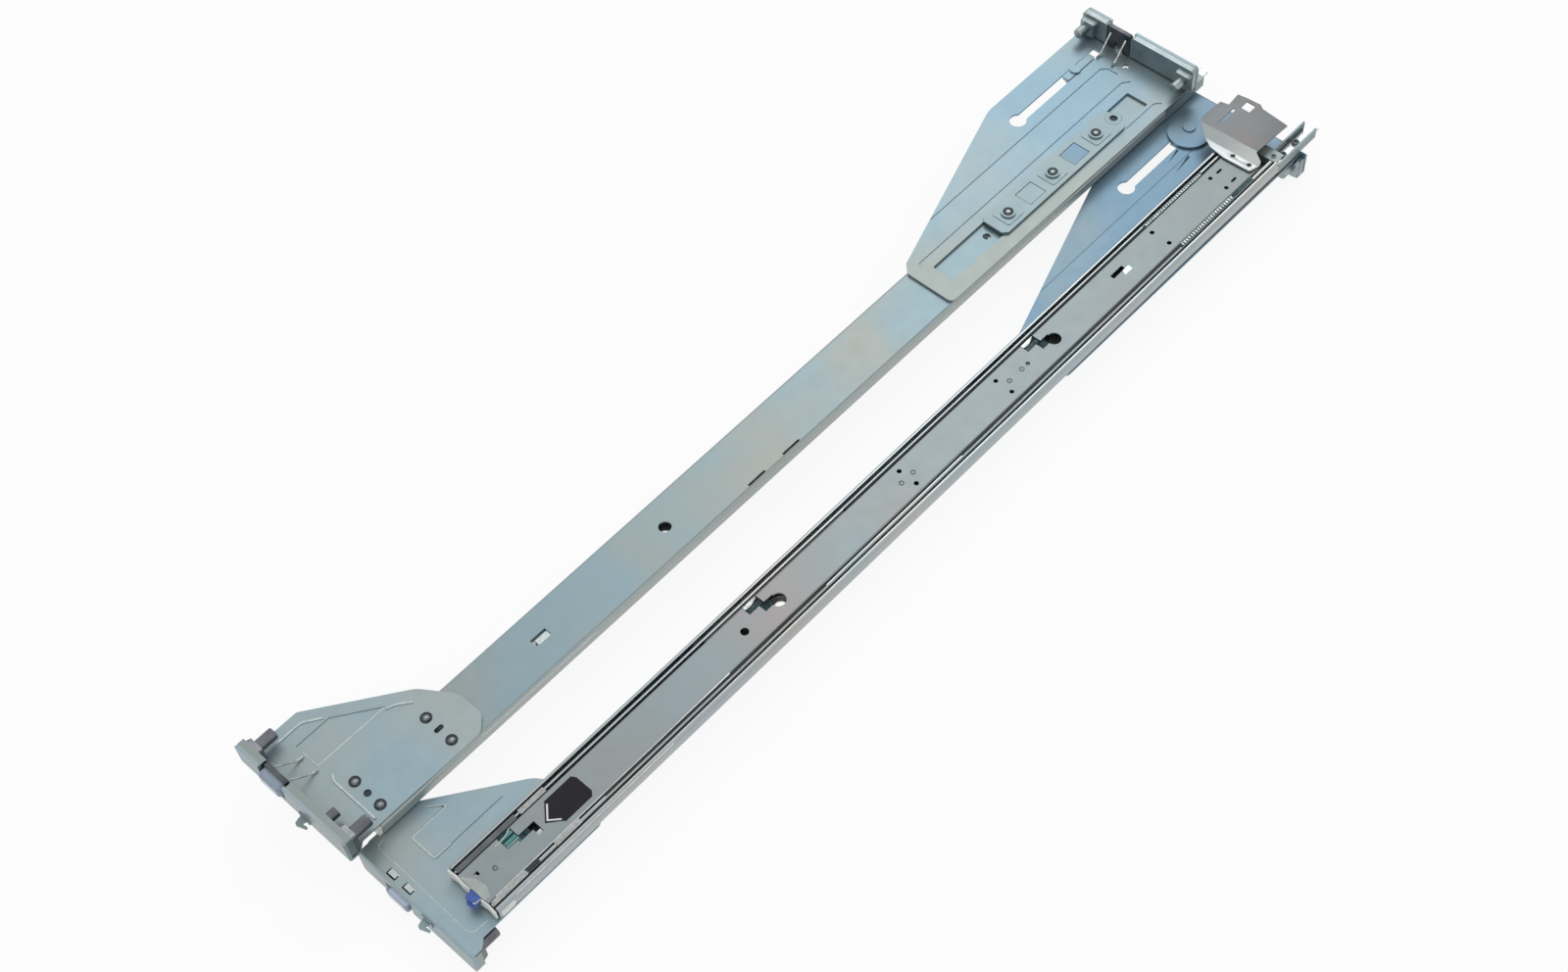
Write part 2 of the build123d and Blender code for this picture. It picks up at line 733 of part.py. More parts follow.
def make_strap_plate():
    """Strap that holds the rear bracket to the slide, riveted through the long window."""
    strap_top = rear_plate_back_z - body_gap
    with BuildPart() as strap_plate:
        with BuildSketch(Plane.XY.offset(strap_top - strap_sheet)):
            with BuildLine():
                FilletPolyline(
                    (strap_start_x, -strap_half_height + 3.0),
                    (strap_start_x + 3.0, -strap_half_height),
                    (strap_end_x, -strap_half_height),
                    (strap_end_x, strap_half_height),
                    (strap_start_x + 3.0, strap_half_height),
                    (strap_start_x, strap_half_height - 3.0),
                    radius=[1, 1, 5, 5, 1, 1],
                    close=True,
                )
            make_face()
            with Locations(*[(x + strap_rivet_pitch / 2, 0) for x in strap_rivet_places()[:2]]):
                Rectangle(14.8, 12.6, mode=Mode.SUBTRACT)
            with Locations(*[(x, 0) for x in strap_rivet_places()]):
                Circle(shoulder_radius + rivet_clearance, mode=Mode.SUBTRACT)
            with Locations((strap_end_x - 2.0, 0)):
                Circle(2.6, mode=Mode.SUBTRACT)
        extrude(amount=strap_sheet)
        # Square pads pressed up round each rivet
        with BuildSketch(Plane.XY.offset(strap_top - strap_sheet)):
            with Locations(*[(x, 0) for x in strap_rivet_places()]):
                RectangleRounded(15.0, 14.0, 2.0)
                Circle(shoulder_radius + rivet_clearance, mode=Mode.SUBTRACT)
        extrude(amount=-0.4)
    return strap_plate.part


def make_strap_rivets():
    """Three shoulder rivets that carry the strap off the web of the outer member."""
    head_top = rear_plate_back_z - body_gap - strap_sheet - 0.4
    with BuildPart() as strap_rivets:
        places = [(x, 0) for x in strap_rivet_places()]
        with BuildSketch(Plane.XY.offset(head_top)):
            with Locations(*places):
                Circle(shoulder_radius)
        extrude(amount=-head_top)
        with BuildSketch(Plane.XY.offset(head_top - 1.2)):
            with Locations(*places):
                Circle(shoulder_head_radius)
                Circle(1.4, mode=Mode.SUBTRACT)
        extrude(amount=1.2)
        with BuildSketch(Plane.XY):
            with Locations(*places):
                Circle(shoulder_radius - 0.7)
        extrude(amount=outer_sheet + 0.2)
    return strap_rivets.part


def make_slot_slider(shield_length, shield_height, shield_rivet_radius):
    """Key that slides in the keyhole slot, with its rivet heads and the plate that it carries."""
    rivet_x = slider_start_x + 10.0
    shield_x = slider_start_x + shield_length / 2
    with BuildPart() as slot_slider:
        with BuildSketch(Plane.XY.offset(rear_plate_back_z - body_gap)):
            with Locations((slider_start_x + slider_length / 2, keyhole_y)):
                RectangleRounded(slider_length, 2 * slider_half, 1.0)
        extrude(amount=bracket_sheet + 2 * body_gap)
        with BuildSketch(Plane.XY.offset(rear_plate_top_z + body_gap)):
            with Locations((shield_x, keyhole_y - 2.0)):
                SlotOverall(shield_length, shield_height)
        extrude(amount=1.5)
        with BuildSketch(Plane.XY.offset(rear_plate_back_z - body_gap)):
            with Locations((rivet_x, keyhole_y)):
                Circle(slider_head_radius)
        extrude(amount=-1.0)
        with BuildSketch(Plane.XY.offset(rear_plate_top_z + body_gap + 1.5)):
            with Locations((slider_start_x + 16.4, keyhole_y)):
                Circle(shield_rivet_radius)
        extrude(amount=1.0, taper=20)
    return slot_slider.part


def make_cma_bracket():
    """Stepped bracket on the rear of the inner member that a cable arm hangs on."""
    bend_x = inner_rear + cma_bend_offset
    plate_top_z = slide_height + cma_plate_rise
    low_z = slide_height + cma_sheet / 2
    high_z = plate_top_z - cma_sheet / 2
    askew = Plane((bend_x, 0, 0), x_dir=(1, -cma_slope, 0), z_dir=(-cma_slope, -1, 0))
    with BuildPart() as cma_bracket:
        # Foot, sloping wall and plate in one folded strip, wider than the finished outline
        with BuildSketch(askew):
            with BuildLine():
                FilletPolyline((-20.0, low_z), (-4.8, low_z), (0.2, high_z), (42.0, high_z), radius=1.2)
            trace(line_width=cma_sheet)
        extrude(amount=45.0, both=True)
        with BuildSketch(Plane.XY.offset(slide_height)):
            with BuildLine():
                FilletPolyline(
                    (inner_rear - cma_foot_length, -cma_foot_half),
                    (inner_rear - 0.3, -cma_foot_half),
                    (inner_rear + 0.9, -11.5),
                    (bend_x - 2.8, -11.5),
                    (bend_x, -5.6),
                    (bend_x + 30.6, -7.1),
                    (bend_x + 33.0, 13.1),
                    (bend_x + 35.0, 16.0),
                    (bend_x + 34.0, 25.4),
                    (bend_x + 33.0, 32.9),
                    (bend_x + 23.2, 31.8),
                    (bend_x + 20.2, 36.8),
                    (bend_x + 4.0, 36.8),
                    (bend_x - 0.6, 34.0),
                    (bend_x - 2.2, 12.6),
                    (inner_rear - 0.3, cma_foot_half + 0.6),
                    (inner_rear - cma_foot_length, cma_foot_half + 0.6),
                    radius=0.8,
                    close=True,
                )
            make_face()
            with Locations((bend_x + 28.35, 20.9)):
                Rectangle(6.8, 6.6, mode=Mode.SUBTRACT)
            with Locations((bend_x + 14.2, 26.4)):
                Rectangle(17.0, 1.6, mode=Mode.SUBTRACT)
            with Locations((bend_x + 22.3, 24.4)):
                Rectangle(1.6, 5.6, mode=Mode.SUBTRACT)
            with Locations((inner_rear - 2.2, 6.1), (inner_rear - 2.2, -6.1)):
                Circle(1.5, mode=Mode.SUBTRACT)
        extrude(amount=cma_plate_rise, mode=Mode.INTERSECT)
    return cma_bracket.part


def make_arm_mount():
    """Channel on the rear end of the outer member that the cable arm's tongue lies in."""
    start = slide_rear
    low_y = -half_slide
    high_y = -half_slide + 10.0
    with BuildPart() as arm_mount:
        with BuildSketch(Plane.YZ.offset(start)):
            with Locations(((low_y + high_y) / 2, 5.2)):
                Rectangle(high_y - low_y, 7.6)
                with Locations((0, arm_mount_sheet)):
                    Rectangle(high_y - low_y - 2 * arm_mount_sheet, 7.6, mode=Mode.SUBTRACT)
        extrude(amount=arm_mount_length)
        with BuildSketch(Plane.YZ.offset(start)):
            with Locations((-6.5, 5.2)):
                Rectangle(25.0, 7.6)
        extrude(amount=arm_mount_sheet)
    return arm_mount.part


def make_arm_tongue():
    """Flat tongue in the channel, held by two hollow rivets, that the cable arm plugs on to."""
    floor_z = 1.4 + arm_mount_sheet
    start = slide_rear + 5.0
    end = slide_rear + 16.0 + tongue_length
    mid_y = -half_slide + 5.0
    with BuildPart() as arm_tongue:
        with BuildSketch(Plane.XY.offset(floor_z)):
            with Locations(((start + end) / 2, mid_y)):
                SlotOverall(end - start, 6.6)
        extrude(amount=1.5)
        with BuildSketch(Plane.XY.offset(floor_z + 1.5)):
            with Locations((start + 7.0, mid_y), (start + 20.6, mid_y)):
                Circle(2.2)
        extrude(amount=0.8)
        with BuildSketch(Plane.XY.offset(floor_z + 1.0)):
            with Locations((start + 7.0, mid_y), (start + 20.6, mid_y)):
                Circle(1.1)
        extrude(amount=1.4, mode=Mode.SUBTRACT)
    return arm_tongue.part


def rail_parts(left):
    """All pieces of one rail in its own frame, by name."""
    inner_member, web_bottom = make_inner_member()
    lever_bottom = web_bottom - body_gap - 1.2
    lever_low_y = -6.6
    lever_high_y = -0.6
    outer_radius, outer_y, inner_radius, inner_y = cage_rows()
    mid_z = slide_height / 2
    latch_front_x = flange_sheet + 1.0
    latch_rear_x = rail_length - flange_sheet - 1.0 - latch_sheet
    outer_ball_set = [(x, side * outer_y, mid_z) for side in (-1, 1) for x in outer_ball_places()]
    inner_ball_set = [
        (x, side * inner_y, 5.8)
        for side, start in ((1, inner_cage_upper_start), (-1, inner_cage_lower_start))
        for x in inner_ball_places(start)
    ]
    slider_plate = (36.5, 27.0, 4.3) if left else (slider_length, 9.0, 2.4)
    return {
        "outer_member": make_outer_member(),
        "intermediate_member": make_intermediate_member(),
        "inner_member": inner_member,
        "outer_ball_cage": make_outer_cage(),
        "outer_balls": make_balls(outer_ball_set, outer_radius),
        "inner_ball_cage": make_inner_cage(),
        "inner_balls": make_balls(inner_ball_set, inner_radius),
        "front_bracket": make_front_bracket(),
        "front_rivets": make_front_rivets(),
        "front_upper_stud_block": make_stud_block(
            flange_sheet, 1, 0, notch_high_y, block_top_y,
            [(upper_stud_y, stud_radius, front_stud_reach, 12.0)],
        ),
        "front_lower_stud_block": make_stud_block(
            flange_sheet, 1, 0, block_bottom_y, notch_low_y,
            [(lower_stud_y, stud_radius, front_stud_reach, 12.0), (locator_y, locator_radius, locator_reach, 0)],
        ),
        "front_latch": make_latch(latch_front_x),
        "front_latch_button": make_latch_button(latch_front_x),
        "front_latch_spring": make_latch_spring((latch_front_x + latch_sheet + 0.35, -12.0), (20.0, -2.6)),
        "server_hook": make_server_hook(),
        "front_bumper": make_bumper(lever_bottom, lever_low_y, lever_high_y),
        "release_lever": make_release_lever(lever_bottom, lever_low_y, lever_high_y),
        "release_tab": make_release_tab(lever_bottom, lever_low_y, lever_high_y),
        "lock_leaf": make_lock_leaf(web_bottom),
        "rear_bracket": make_rear_bracket(),
        "rear_upper_stud_block": make_stud_block(
            rail_length - flange_sheet, -1, rear_plate_top_z, notch_high_y, block_top_y,
            [(upper_stud_y, rear_stud_radius, rear_stud_reach, 12.0)],
        ),
        "rear_lower_stud_block": make_stud_block(
            rail_length - flange_sheet, -1, rear_plate_top_z, block_bottom_y, notch_low_y,
            [(lower_stud_y, rear_stud_radius, rear_stud_reach, 12.0)],
        ),
        "rear_latch": make_latch(latch_rear_x),
        "rear_latch_spring": make_latch_spring((latch_rear_x - 0.45, -12.0), (rail_length - 17.0, -3.0)),
        "strap_plate": make_strap_plate(),
        "strap_rivets": make_strap_rivets(),
        "slot_slider": make_slot_slider(*slider_plate),
        "cable_bracket": make_cma_bracket(),
        "arm_mount": make_arm_mount(),
        "arm_tongue": make_arm_tongue(),
    }


def write_rail(side, left):
    """Place one rail and write each of its pieces."""
    for name, part in rail_parts(left).items():
        placed = left_place * part if left else right_place * mirror(part, about=Plane.XY)
        placed.label = f"{side}_{name}"
        export_step(placed, f"parts/{placed.label}.step")


write_rail("left", True)
write_rail("right", False)
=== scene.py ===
"""Looks of a sliding server rail pair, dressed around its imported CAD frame.

All lengths of the rails are in millimetres in each rail's own frame: X runs from the front
flange to the rear flange, Y goes up the rack from the centre line of the slide, and Z points
to the server from the back of the slide. Side.place turns them into the row frame in metres.
"""

import logging
import math
from collections.abc import Sequence
from dataclasses import dataclass, field
from enum import Enum

import bpy
import numpy as np
from mathutils import Matrix, Vector
from mathutils.geometry import delaunay_2d_cdt


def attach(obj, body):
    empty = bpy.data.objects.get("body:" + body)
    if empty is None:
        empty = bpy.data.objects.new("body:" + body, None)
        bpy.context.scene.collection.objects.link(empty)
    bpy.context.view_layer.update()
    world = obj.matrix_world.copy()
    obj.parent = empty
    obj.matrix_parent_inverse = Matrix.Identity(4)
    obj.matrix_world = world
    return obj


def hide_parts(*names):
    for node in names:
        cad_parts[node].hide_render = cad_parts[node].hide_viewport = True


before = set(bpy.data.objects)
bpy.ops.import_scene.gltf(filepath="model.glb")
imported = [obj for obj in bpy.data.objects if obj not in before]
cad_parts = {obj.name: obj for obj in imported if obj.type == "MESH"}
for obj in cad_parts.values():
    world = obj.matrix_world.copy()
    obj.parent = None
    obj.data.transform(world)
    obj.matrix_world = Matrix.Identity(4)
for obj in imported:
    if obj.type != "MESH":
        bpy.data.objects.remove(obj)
log = logging.getLogger("server_rails")

MM = 0.001
SHARP_FROM = math.radians(32)
SOFT_EDGE = 0.12
# Orders of the axes that mirror a shape, so that its faces have to be turned over.
MIRRORED_AXES = ((0, 2, 1), (1, 0, 2), (2, 1, 0))

# A pair is a place in a plane, or where something starts and ends.
Pair = tuple[float, float]
Triple = tuple[float, float, float]
Line = Sequence[Pair] | np.ndarray
Socket = bpy.types.NodeSocket
Tree = bpy.types.NodeTree


class Side(Enum):
    """The two rails of the pair."""

    LEFT = "left"
    RIGHT = "right"

    @property
    def origin(self) -> np.ndarray:
        """The rail frame's origin in the row frame, in mm."""
        if self is Side.LEFT:
            return np.array([-359.75, -61.8, 19.0])
        return np.array([-367.25, 18.9, 29.1])

    @property
    def server_side(self) -> float:
        """1 where the server side faces up, and -1 where the rack side does."""
        return 1.0 if self is Side.LEFT else -1.0

    def place(self, points: np.ndarray) -> np.ndarray:
        """Rail frame to row frame: the rail's Z is flipped for the right rail, then shifted.

        Args:
            points: rail frame points in mm, last axis x, y, z.

        Returns:
            The same points in the row frame, in metres.
        """
        turned = np.asarray(points, float) * np.array([1.0, 1.0, self.server_side])
        return (turned + self.origin) * MM

    def node(self, name: str) -> str:
        """The CAD node or body of this rail with that plain name."""
        return f"{self.value}_{name}"


def linear(hex_colour: str) -> tuple[float, float, float, float]:
    """Turns an sRGB hex colour into the linear colour that Blender's sockets hold.

    Args:
        hex_colour: such as "#a8b4b4".

    Returns:
        Red, green, blue and an alpha of 1.
    """
    srgb = np.array([int(hex_colour[i : i + 2], 16) / 255 for i in (1, 3, 5)])
    values = np.where(srgb <= 0.04045, srgb / 12.92, ((srgb + 0.055) / 1.055) ** 2.4)
    return (float(values[0]), float(values[1]), float(values[2]), 1.0)


def add_node(
    tree: Tree, kind: str, inputs: dict | None = None, **settings: object
) -> bpy.types.Node:
    """Adds a node with its settings, its socket values and its links.

    Args:
        tree: the node tree that gets the node.
        kind: the node's type name.
        inputs: socket name or number to a value, or to an output socket that is linked.
        **settings: the node's own properties.

    Returns:
        The new node.
    """
    node = tree.nodes.new(kind)
    for key, value in settings.items():
        setattr(node, key, value)
    for key, value in (inputs or {}).items():
        socket = node.inputs[key]
        if isinstance(value, Socket):
            tree.links.new(value, socket)
        else:
            socket.default_value = value
    return node


def new_material(name: str) -> tuple[bpy.types.Material, Tree]:
    """Makes an empty node material.

    Args:
        name: the material's name.

    Returns:
        The material and its tree.
    """
    material = bpy.data.materials.new(name)
    material.use_nodes = True
    material.node_tree.nodes.clear()
    return material, material.node_tree


def object_place(tree: Tree) -> Socket:
    """The place on the object, in metres."""
    return add_node(tree, "ShaderNodeTexCoord").outputs["Object"]


def noise(tree: Tree, coords: Socket, size_mm: float, detail: float) -> Socket:
    """A noise whose lumps are about size_mm across, read at coords in metres.

    Args:
        tree: the material's tree.
        coords: the output with the place.
        size_mm: the real size of one lump.
        detail: octaves of finer lumps.

    Returns:
        The noise factor's output.
    """
    inputs = {"Vector": coords, "Scale": 1.0 / (size_mm * MM), "Detail": detail, "Roughness": 0.55}
    return add_node(tree, "ShaderNodeTexNoise", inputs).outputs[0]


def mapped(
    tree: Tree, value: Socket, low: float, high: float, start: float = 0.0, end: float = 1.0
) -> Socket:
    """Maps a value that runs from start to end onto low to high, and holds it between them.

    Args:
        tree: the material's tree.
        value: the output that is mapped.
        low: the result at start.
        high: the result at end.
        start: where the value's range starts.
        end: where it ends.

    Returns:
        The result's output.
    """
    inputs = {"Value": value, "From Min": start, "From Max": end, "To Min": low, "To Max": high}
    return add_node(tree, "ShaderNodeMapRange", inputs).outputs[0]


def ramp(tree: Tree, value: Socket, stops: dict[float, str]) -> Socket:
    """Turns a value into a colour.

    Args:
        tree: the material's tree.
        value: the output that picks the colour.
        stops: the level of each stop to its hex colour, from low to high.

    Returns:
        The colour's output.
    """
    node = add_node(tree, "ShaderNodeValToRGB", {"Fac": value})
    elements = node.color_ramp.elements
    first, *between, last = stops.items()
    for element, (level, colour) in zip(elements, (first, last)):
        element.position = level
        element.color = linear(colour)
    for level, colour in between:
        elements.new(level).color = linear(colour)
    return node.outputs[0]


def bumped(tree: Tree, height: Socket, strength: float, depth_mm: float) -> Socket:
    """A surface direction that is tilted by a height of up to depth_mm."""
    inputs = {"Height": height, "Strength": strength, "Distance": depth_mm * MM}
    return add_node(tree, "ShaderNodeBump", inputs).outputs[0]


def shade(tree: Tree, inputs: dict) -> None:
    """Ends a material in one principled shader with these sockets."""
    shader = add_node(tree, "ShaderNodeBsdfPrincipled", inputs)
    add_node(tree, "ShaderNodeOutputMaterial", {"Surface": shader.outputs[0]})


@dataclass(frozen=True)
class Fade:
    """A second colour below a level along a direction, in mm of the row frame.

    The share of the finish's own colour is (direction . place - start) / (end - start), held
    between 0 and 1.
    """

    direction: Triple
    start: float
    end: float
    colour: str

    def over(self, tree: Tree, place: Socket, tint: Socket) -> Socket:
        """Mixes the second colour into a tint.

        Args:
            tree: the material's tree.
            place: the output with the place.
            tint: the output with the finish's own colour.

        Returns:
            The mixed colour's output.
        """
        level = add_node(
            tree, "ShaderNodeVectorMath", {0: place, 1: self.direction}, operation="DOT_PRODUCT"
        ).outputs["Value"]
        share = mapped(tree, level, 0.0, 1.0, self.start * MM, self.end * MM)
        return add_node(
            tree, "ShaderNodeMix", {0: share, 6: linear(self.colour), 7: tint}, data_type="RGBA"
        ).outputs[2]


@dataclass(frozen=True)
class PlatedSheet:
    """Cold-rolled steel sheet, zinc plated and passivated.

    The passivation film gives soft clouds of blue and straw over the grey zinc, the roll of
    the sheet gives faint lines along the rail, and the plating is satin with a fine mottle.
    The film is grey where the clouds' noise is 0.62 - 0.34 * cool_share, so that a greater
    share leaves more of the sheet cool.
    """

    name: str
    grey: str
    cool: str
    warm: str
    cloud_mm: float = 85.0
    cloud_step: float = 0.14
    cool_share: float = 0.5
    metallic: float = 0.75
    roughness: float = 0.42
    roll_mm: float = 1.1
    roll_stretch: float = 0.02
    spangle_mm: float = 9.0
    fade: Fade | None = None

    def build(self) -> bpy.types.Material:
        """Makes the node material.

        Returns:
            The material.
        """
        material, tree = new_material(self.name)
        place = object_place(tree)
        clouds = noise(tree, place, self.cloud_mm, 2.0)
        level, step = 0.62 - 0.34 * self.cool_share, self.cloud_step
        stops = {level - step: self.warm, level: self.grey, level + step: self.cool}
        film = ramp(tree, clouds, stops)
        tint = self.fade.over(tree, place, film) if self.fade else film
        spangle = noise(tree, place, self.spangle_mm, 1.5)
        tone = mapped(tree, spangle, 0.96, 1.03, 0.25, 0.75)
        colour = add_node(tree, "ShaderNodeHueSaturation", {"Color": tint, "Value": tone})
        satin = mapped(tree, spangle, self.roughness - 0.04, self.roughness + 0.04, 0.2, 0.8)
        stretch = (self.roll_stretch, 1.0, 1.0)
        stretched = add_node(tree, "ShaderNodeMapping", {"Vector": place, "Scale": stretch})
        roll = noise(tree, stretched.outputs[0], self.roll_mm, 2.0)
        inputs = {
            "Base Color": colour.outputs[0],
            "Metallic": self.metallic,
            "Roughness": satin,
            "Normal": bumped(tree, roll, 0.12, 0.05),
        }
        shade(tree, inputs)
        return material


@dataclass(frozen=True)
class BareMetal:
    """Metal with no film: drawn, turned or cast, with a fine grain and polished high spots."""

    name: str
    dark: str
    light: str
    grain_mm: float = 2.0
    metallic: float = 1.0
    roughness: float = 0.3
    fade: Fade | None = None

    def build(self) -> bpy.types.Material:
        """Makes the node material.

        Returns:
            The material.
        """
        material, tree = new_material(self.name)
        place = object_place(tree)
        grain = noise(tree, place, self.grain_mm, 4.0)
        colour = ramp(tree, grain, {0.35: self.dark, 0.65: self.light})
        inputs = {
            "Base Color": self.fade.over(tree, place, colour) if self.fade else colour,
            "Metallic": self.metallic,
            "Roughness": mapped(tree, grain, self.roughness + 0.06, self.roughness - 0.04),
            "Normal": bumped(tree, grain, 0.1, 0.1),
        }
        shade(tree, inputs)
        return material


@dataclass(frozen=True)
class MouldedPlastic:
    """Injection-moulded plastic with the fine texture of its tool and a faint flow cloud."""

    name: str
    colour: str
    shadow: str
    roughness: float = 0.4
    clear: float = 0.0
    flow_mm: float = 7.0
    texture_mm: float = 0.8
    specular: float = 0.5

    def build(self) -> bpy.types.Material:
        """Makes the node material.

        Returns:
            The material.
        """
        material, tree = new_material(self.name)
        place = object_place(tree)
        flow = noise(tree, place, self.flow_mm, 2.0)
        texture = noise(tree, place, self.texture_mm, 2.0)
        inputs = {
            "Base Color": ramp(tree, flow, {0.3: self.shadow, 0.7: self.colour}),
            "Roughness": mapped(tree, texture, self.roughness - 0.05, self.roughness + 0.08),
            "Transmission Weight": self.clear,
            "Specular IOR Level": self.specular,
            "Normal": bumped(tree, texture, 0.15, 0.05),
        }
        shade(tree, inputs)
        return material


class Finish(Enum):
    """Every finish of the pair."""

    # Rolled sheet plated after forming: satin with blue and straw clouds. The right web is painted
    # lighter on its walls and folds, below its fade's level, as a painted reflection; the inner
    # member's colour darkens towards its rear end.
    WEB = PlatedSheet(
        "zinc_plated_web",
        "#8b9798",
        "#84989f",
        "#939690",
        # painted reflection: below 28.2 mm of height, on the walls and folds, the web is painted a
        # lighter grey
        fade=Fade((0.0, 0.0, 1.0), 28.2, 28.8, "#a9b0ae"),
    )
    SLIDE = PlatedSheet(
        "zinc_plated_slide", "#a8adac", "#a2abae", "#acadaa", metallic=0.9, roughness=0.3
    )
    INNER = PlatedSheet(
        "zinc_plated_inner",
        "#888e8e",
        "#859094",
        "#908b8d",
        roughness=0.4,
        fade=Fade((-1.0, 0.0, 0.0), -320.0, 60.0, "#7c8485"),
    )
    # Pressed sheet with a thicker passivation film: bluer, and straw where the film is thin.
    FRONT_PLATE = PlatedSheet("zinc_plated_front", "#98a4a5", "#8fa4ad", "#9ba09b")
    REAR_PLATE_RIGHT = PlatedSheet(
        "zinc_plated_rear_right",
        "#889ba3",
        "#7f99a7",
        "#8d9693",
        fade=Fade((0.25, 1.0, 0.0), 62.0, 92.0, "#8d9693"),
    )
    REAR_PLATE_LEFT = PlatedSheet("zinc_plated_rear_left", "#778b96", "#6c879a", "#7d8b90")
    STRAP = PlatedSheet("zinc_plated_strap", "#8a9696", "#83959a", "#92948f")
    # Bare strip and wire: cold rolling leaves them bright, with sharp reflections and a faint
    # grain. The pale crease finish is also painted highlight along creases, folds, lanced tabs and
    # the middles of rivet heads, and the ball steel is also painted highlight along the folds of
    # the slides.
    COVER = BareMetal("rolled_spring_steel", "#8f9391", "#a9adab", roughness=0.26)
    CAGE = BareMetal("pressed_cage_steel", "#7e8384", "#9aa0a0", roughness=0.3)
    TEETH = BareMetal("toothed_steel", "#8d9392", "#b0b5b3", roughness=0.3)
    PALE_STEEL_AND_HIGHLIGHT = BareMetal("pale_steel_and_painted_highlight", "#a9b4b4", "#bfc8c7", roughness=0.3)
    BRIGHT = BareMetal("bright_drawn_steel", "#9da1a3", "#c9cccd", roughness=0.25)
    BALL_STEEL_AND_HIGHLIGHT = BareMetal("polished_steel_and_painted_highlight", "#b6b9bb", "#d2d4d5", roughness=0.12)
    # Dark steel. The first finish below is dark steel that also stands as painted shade in slots,
    # holes, gaps and grooves; the second is painted shade round rivet heads and in holes; the third
    # is rivet steel that is also the painted shade of the rings round pressed dimples and holes;
    # the blackened steel is oiled and blued, dark, with a soft sheen at its edges.
    DARK_STEEL_AND_SHADE = BareMetal("dark_steel_and_painted_shade", "#1e2a2c", "#36464a", roughness=0.3)
    GROOVE = BareMetal("shadowed_rivet_groove", "#2c3032", "#43494c", roughness=0.4)
    RIVET_STEEL_AND_SHADE = BareMetal("rivet_steel_and_painted_shade", "#5f6568", "#777d7f", roughness=0.32)
    BLACKENED = BareMetal(
        "blackened_steel", "#4b4d52", "#606368", grain_mm=8.0, roughness=0.36
    )
    # Pressure die-cast zinc: smooth and heavy, polished where the studs are machined.
    DIE_CAST = BareMetal("die_cast_zinc", "#8c9799", "#9aa5a7", grain_mm=9.0, roughness=0.34)
    DIE_CAST_LEFT = BareMetal(
        "die_cast_zinc_front_left",
        "#63656a",
        "#76797e",
        grain_mm=9.0,
        roughness=0.24,
        fade=Fade((1.0, 0.0, 0.0), -353.8, -353.6, "#8f9a98"),
    )
    DIE_CAST_RIGHT = BareMetal(
        "die_cast_zinc_front_right",
        "#63656a",
        "#76797e",
        grain_mm=9.0,
        roughness=0.24,
        fade=Fade((1.0, 0.0, 0.0), -361.3, -361.1, "#8f9a98"),
    )
    # Thin grey paint on sheet: flat, with pinkish and bluish patches where hands have rubbed it.
    GREY_PAINT = PlatedSheet(
        "grey_painted_steel",
        "#7f7f80",
        "#7c8386",
        "#8a8284",
        cloud_mm=40.0,
        metallic=0.35,
        roughness=0.5,
    )
    # Moulded plastics: satin from the texture of the tool, except the clear one, which is glossy.
    SMOKED = MouldedPlastic("smoked_acetal", "#60666a", "#4d5357", roughness=0.3)
    DARK_CATCH = MouldedPlastic("black_green_nylon", "#2b3733", "#1f2826", roughness=0.4)
    # Not plastic: painted shade, dark strips that stand for the shade in the gaps along the inner
    # member's edges.
    GAP_SHADE = MouldedPlastic(
        "painted_gap_shade", "#23292a", "#191e1f", roughness=0.5, specular=0.3
    )
    GLASSY_BLUE = MouldedPlastic(
        "clear_blue_polycarbonate", "#cfdced", "#bfd0e8", roughness=0.15, clear=0.6
    )
    BLUE_TAB = MouldedPlastic("blue_acetal", "#3a5da6", "#2f4f93")
    WHITE_TIP = MouldedPlastic("white_acetal", "#dfe2de", "#d0d4d0")
    MILKY = MouldedPlastic("milky_acetal", "#a8b0ac", "#98a19f", roughness=0.35)
    TEAL_LEAF = MouldedPlastic("green_acetal", "#4d8f8b", "#3c7a78")
    # Printed film: even and nearly matt, so that the white stays crisp on the black.
    LABEL = MouldedPlastic("black_label_film", "#1b171d", "#151217", roughness=0.4, specular=0.2)
    PRINT = MouldedPlastic("white_label_print", "#e4e4e6", "#d6d6d9", roughness=0.45)


class Wardrobe:
    """Makes each finish's material once and puts it on pieces and CAD nodes."""

    def __init__(self) -> None:
        """Starts with no material made."""
        self.made: dict[Finish, bpy.types.Material] = {}

    def material(self, finish: Finish) -> bpy.types.Material:
        """The material of a finish, made on first use.

        Args:
            finish: which finish.

        Returns:
            Its material.
        """
        if finish not in self.made:
            self.made[finish] = finish.value.build()
        return self.made[finish]

    def dress(self, piece: bpy.types.Object, finish: Finish) -> None:
        """Gives a piece or a CAD node one finish.

        Args:
            piece: the object.
            finish: which finish.
        """
        piece.data.materials.clear()
        piece.data.materials.append(self.material(finish))


WARDROBE = Wardrobe()


@dataclass
class Shape:
    """A closed skin in a rail's frame: points in mm, faces by point number, and one finish."""

    points: np.ndarray
    faces: list[tuple[int, ...]]
    finish: Finish

    def turned_over(self) -> "Shape":
        """The same skin with its faces listed the other way round."""
        return Shape(self.points, [face[::-1] for face in self.faces], self.finish)


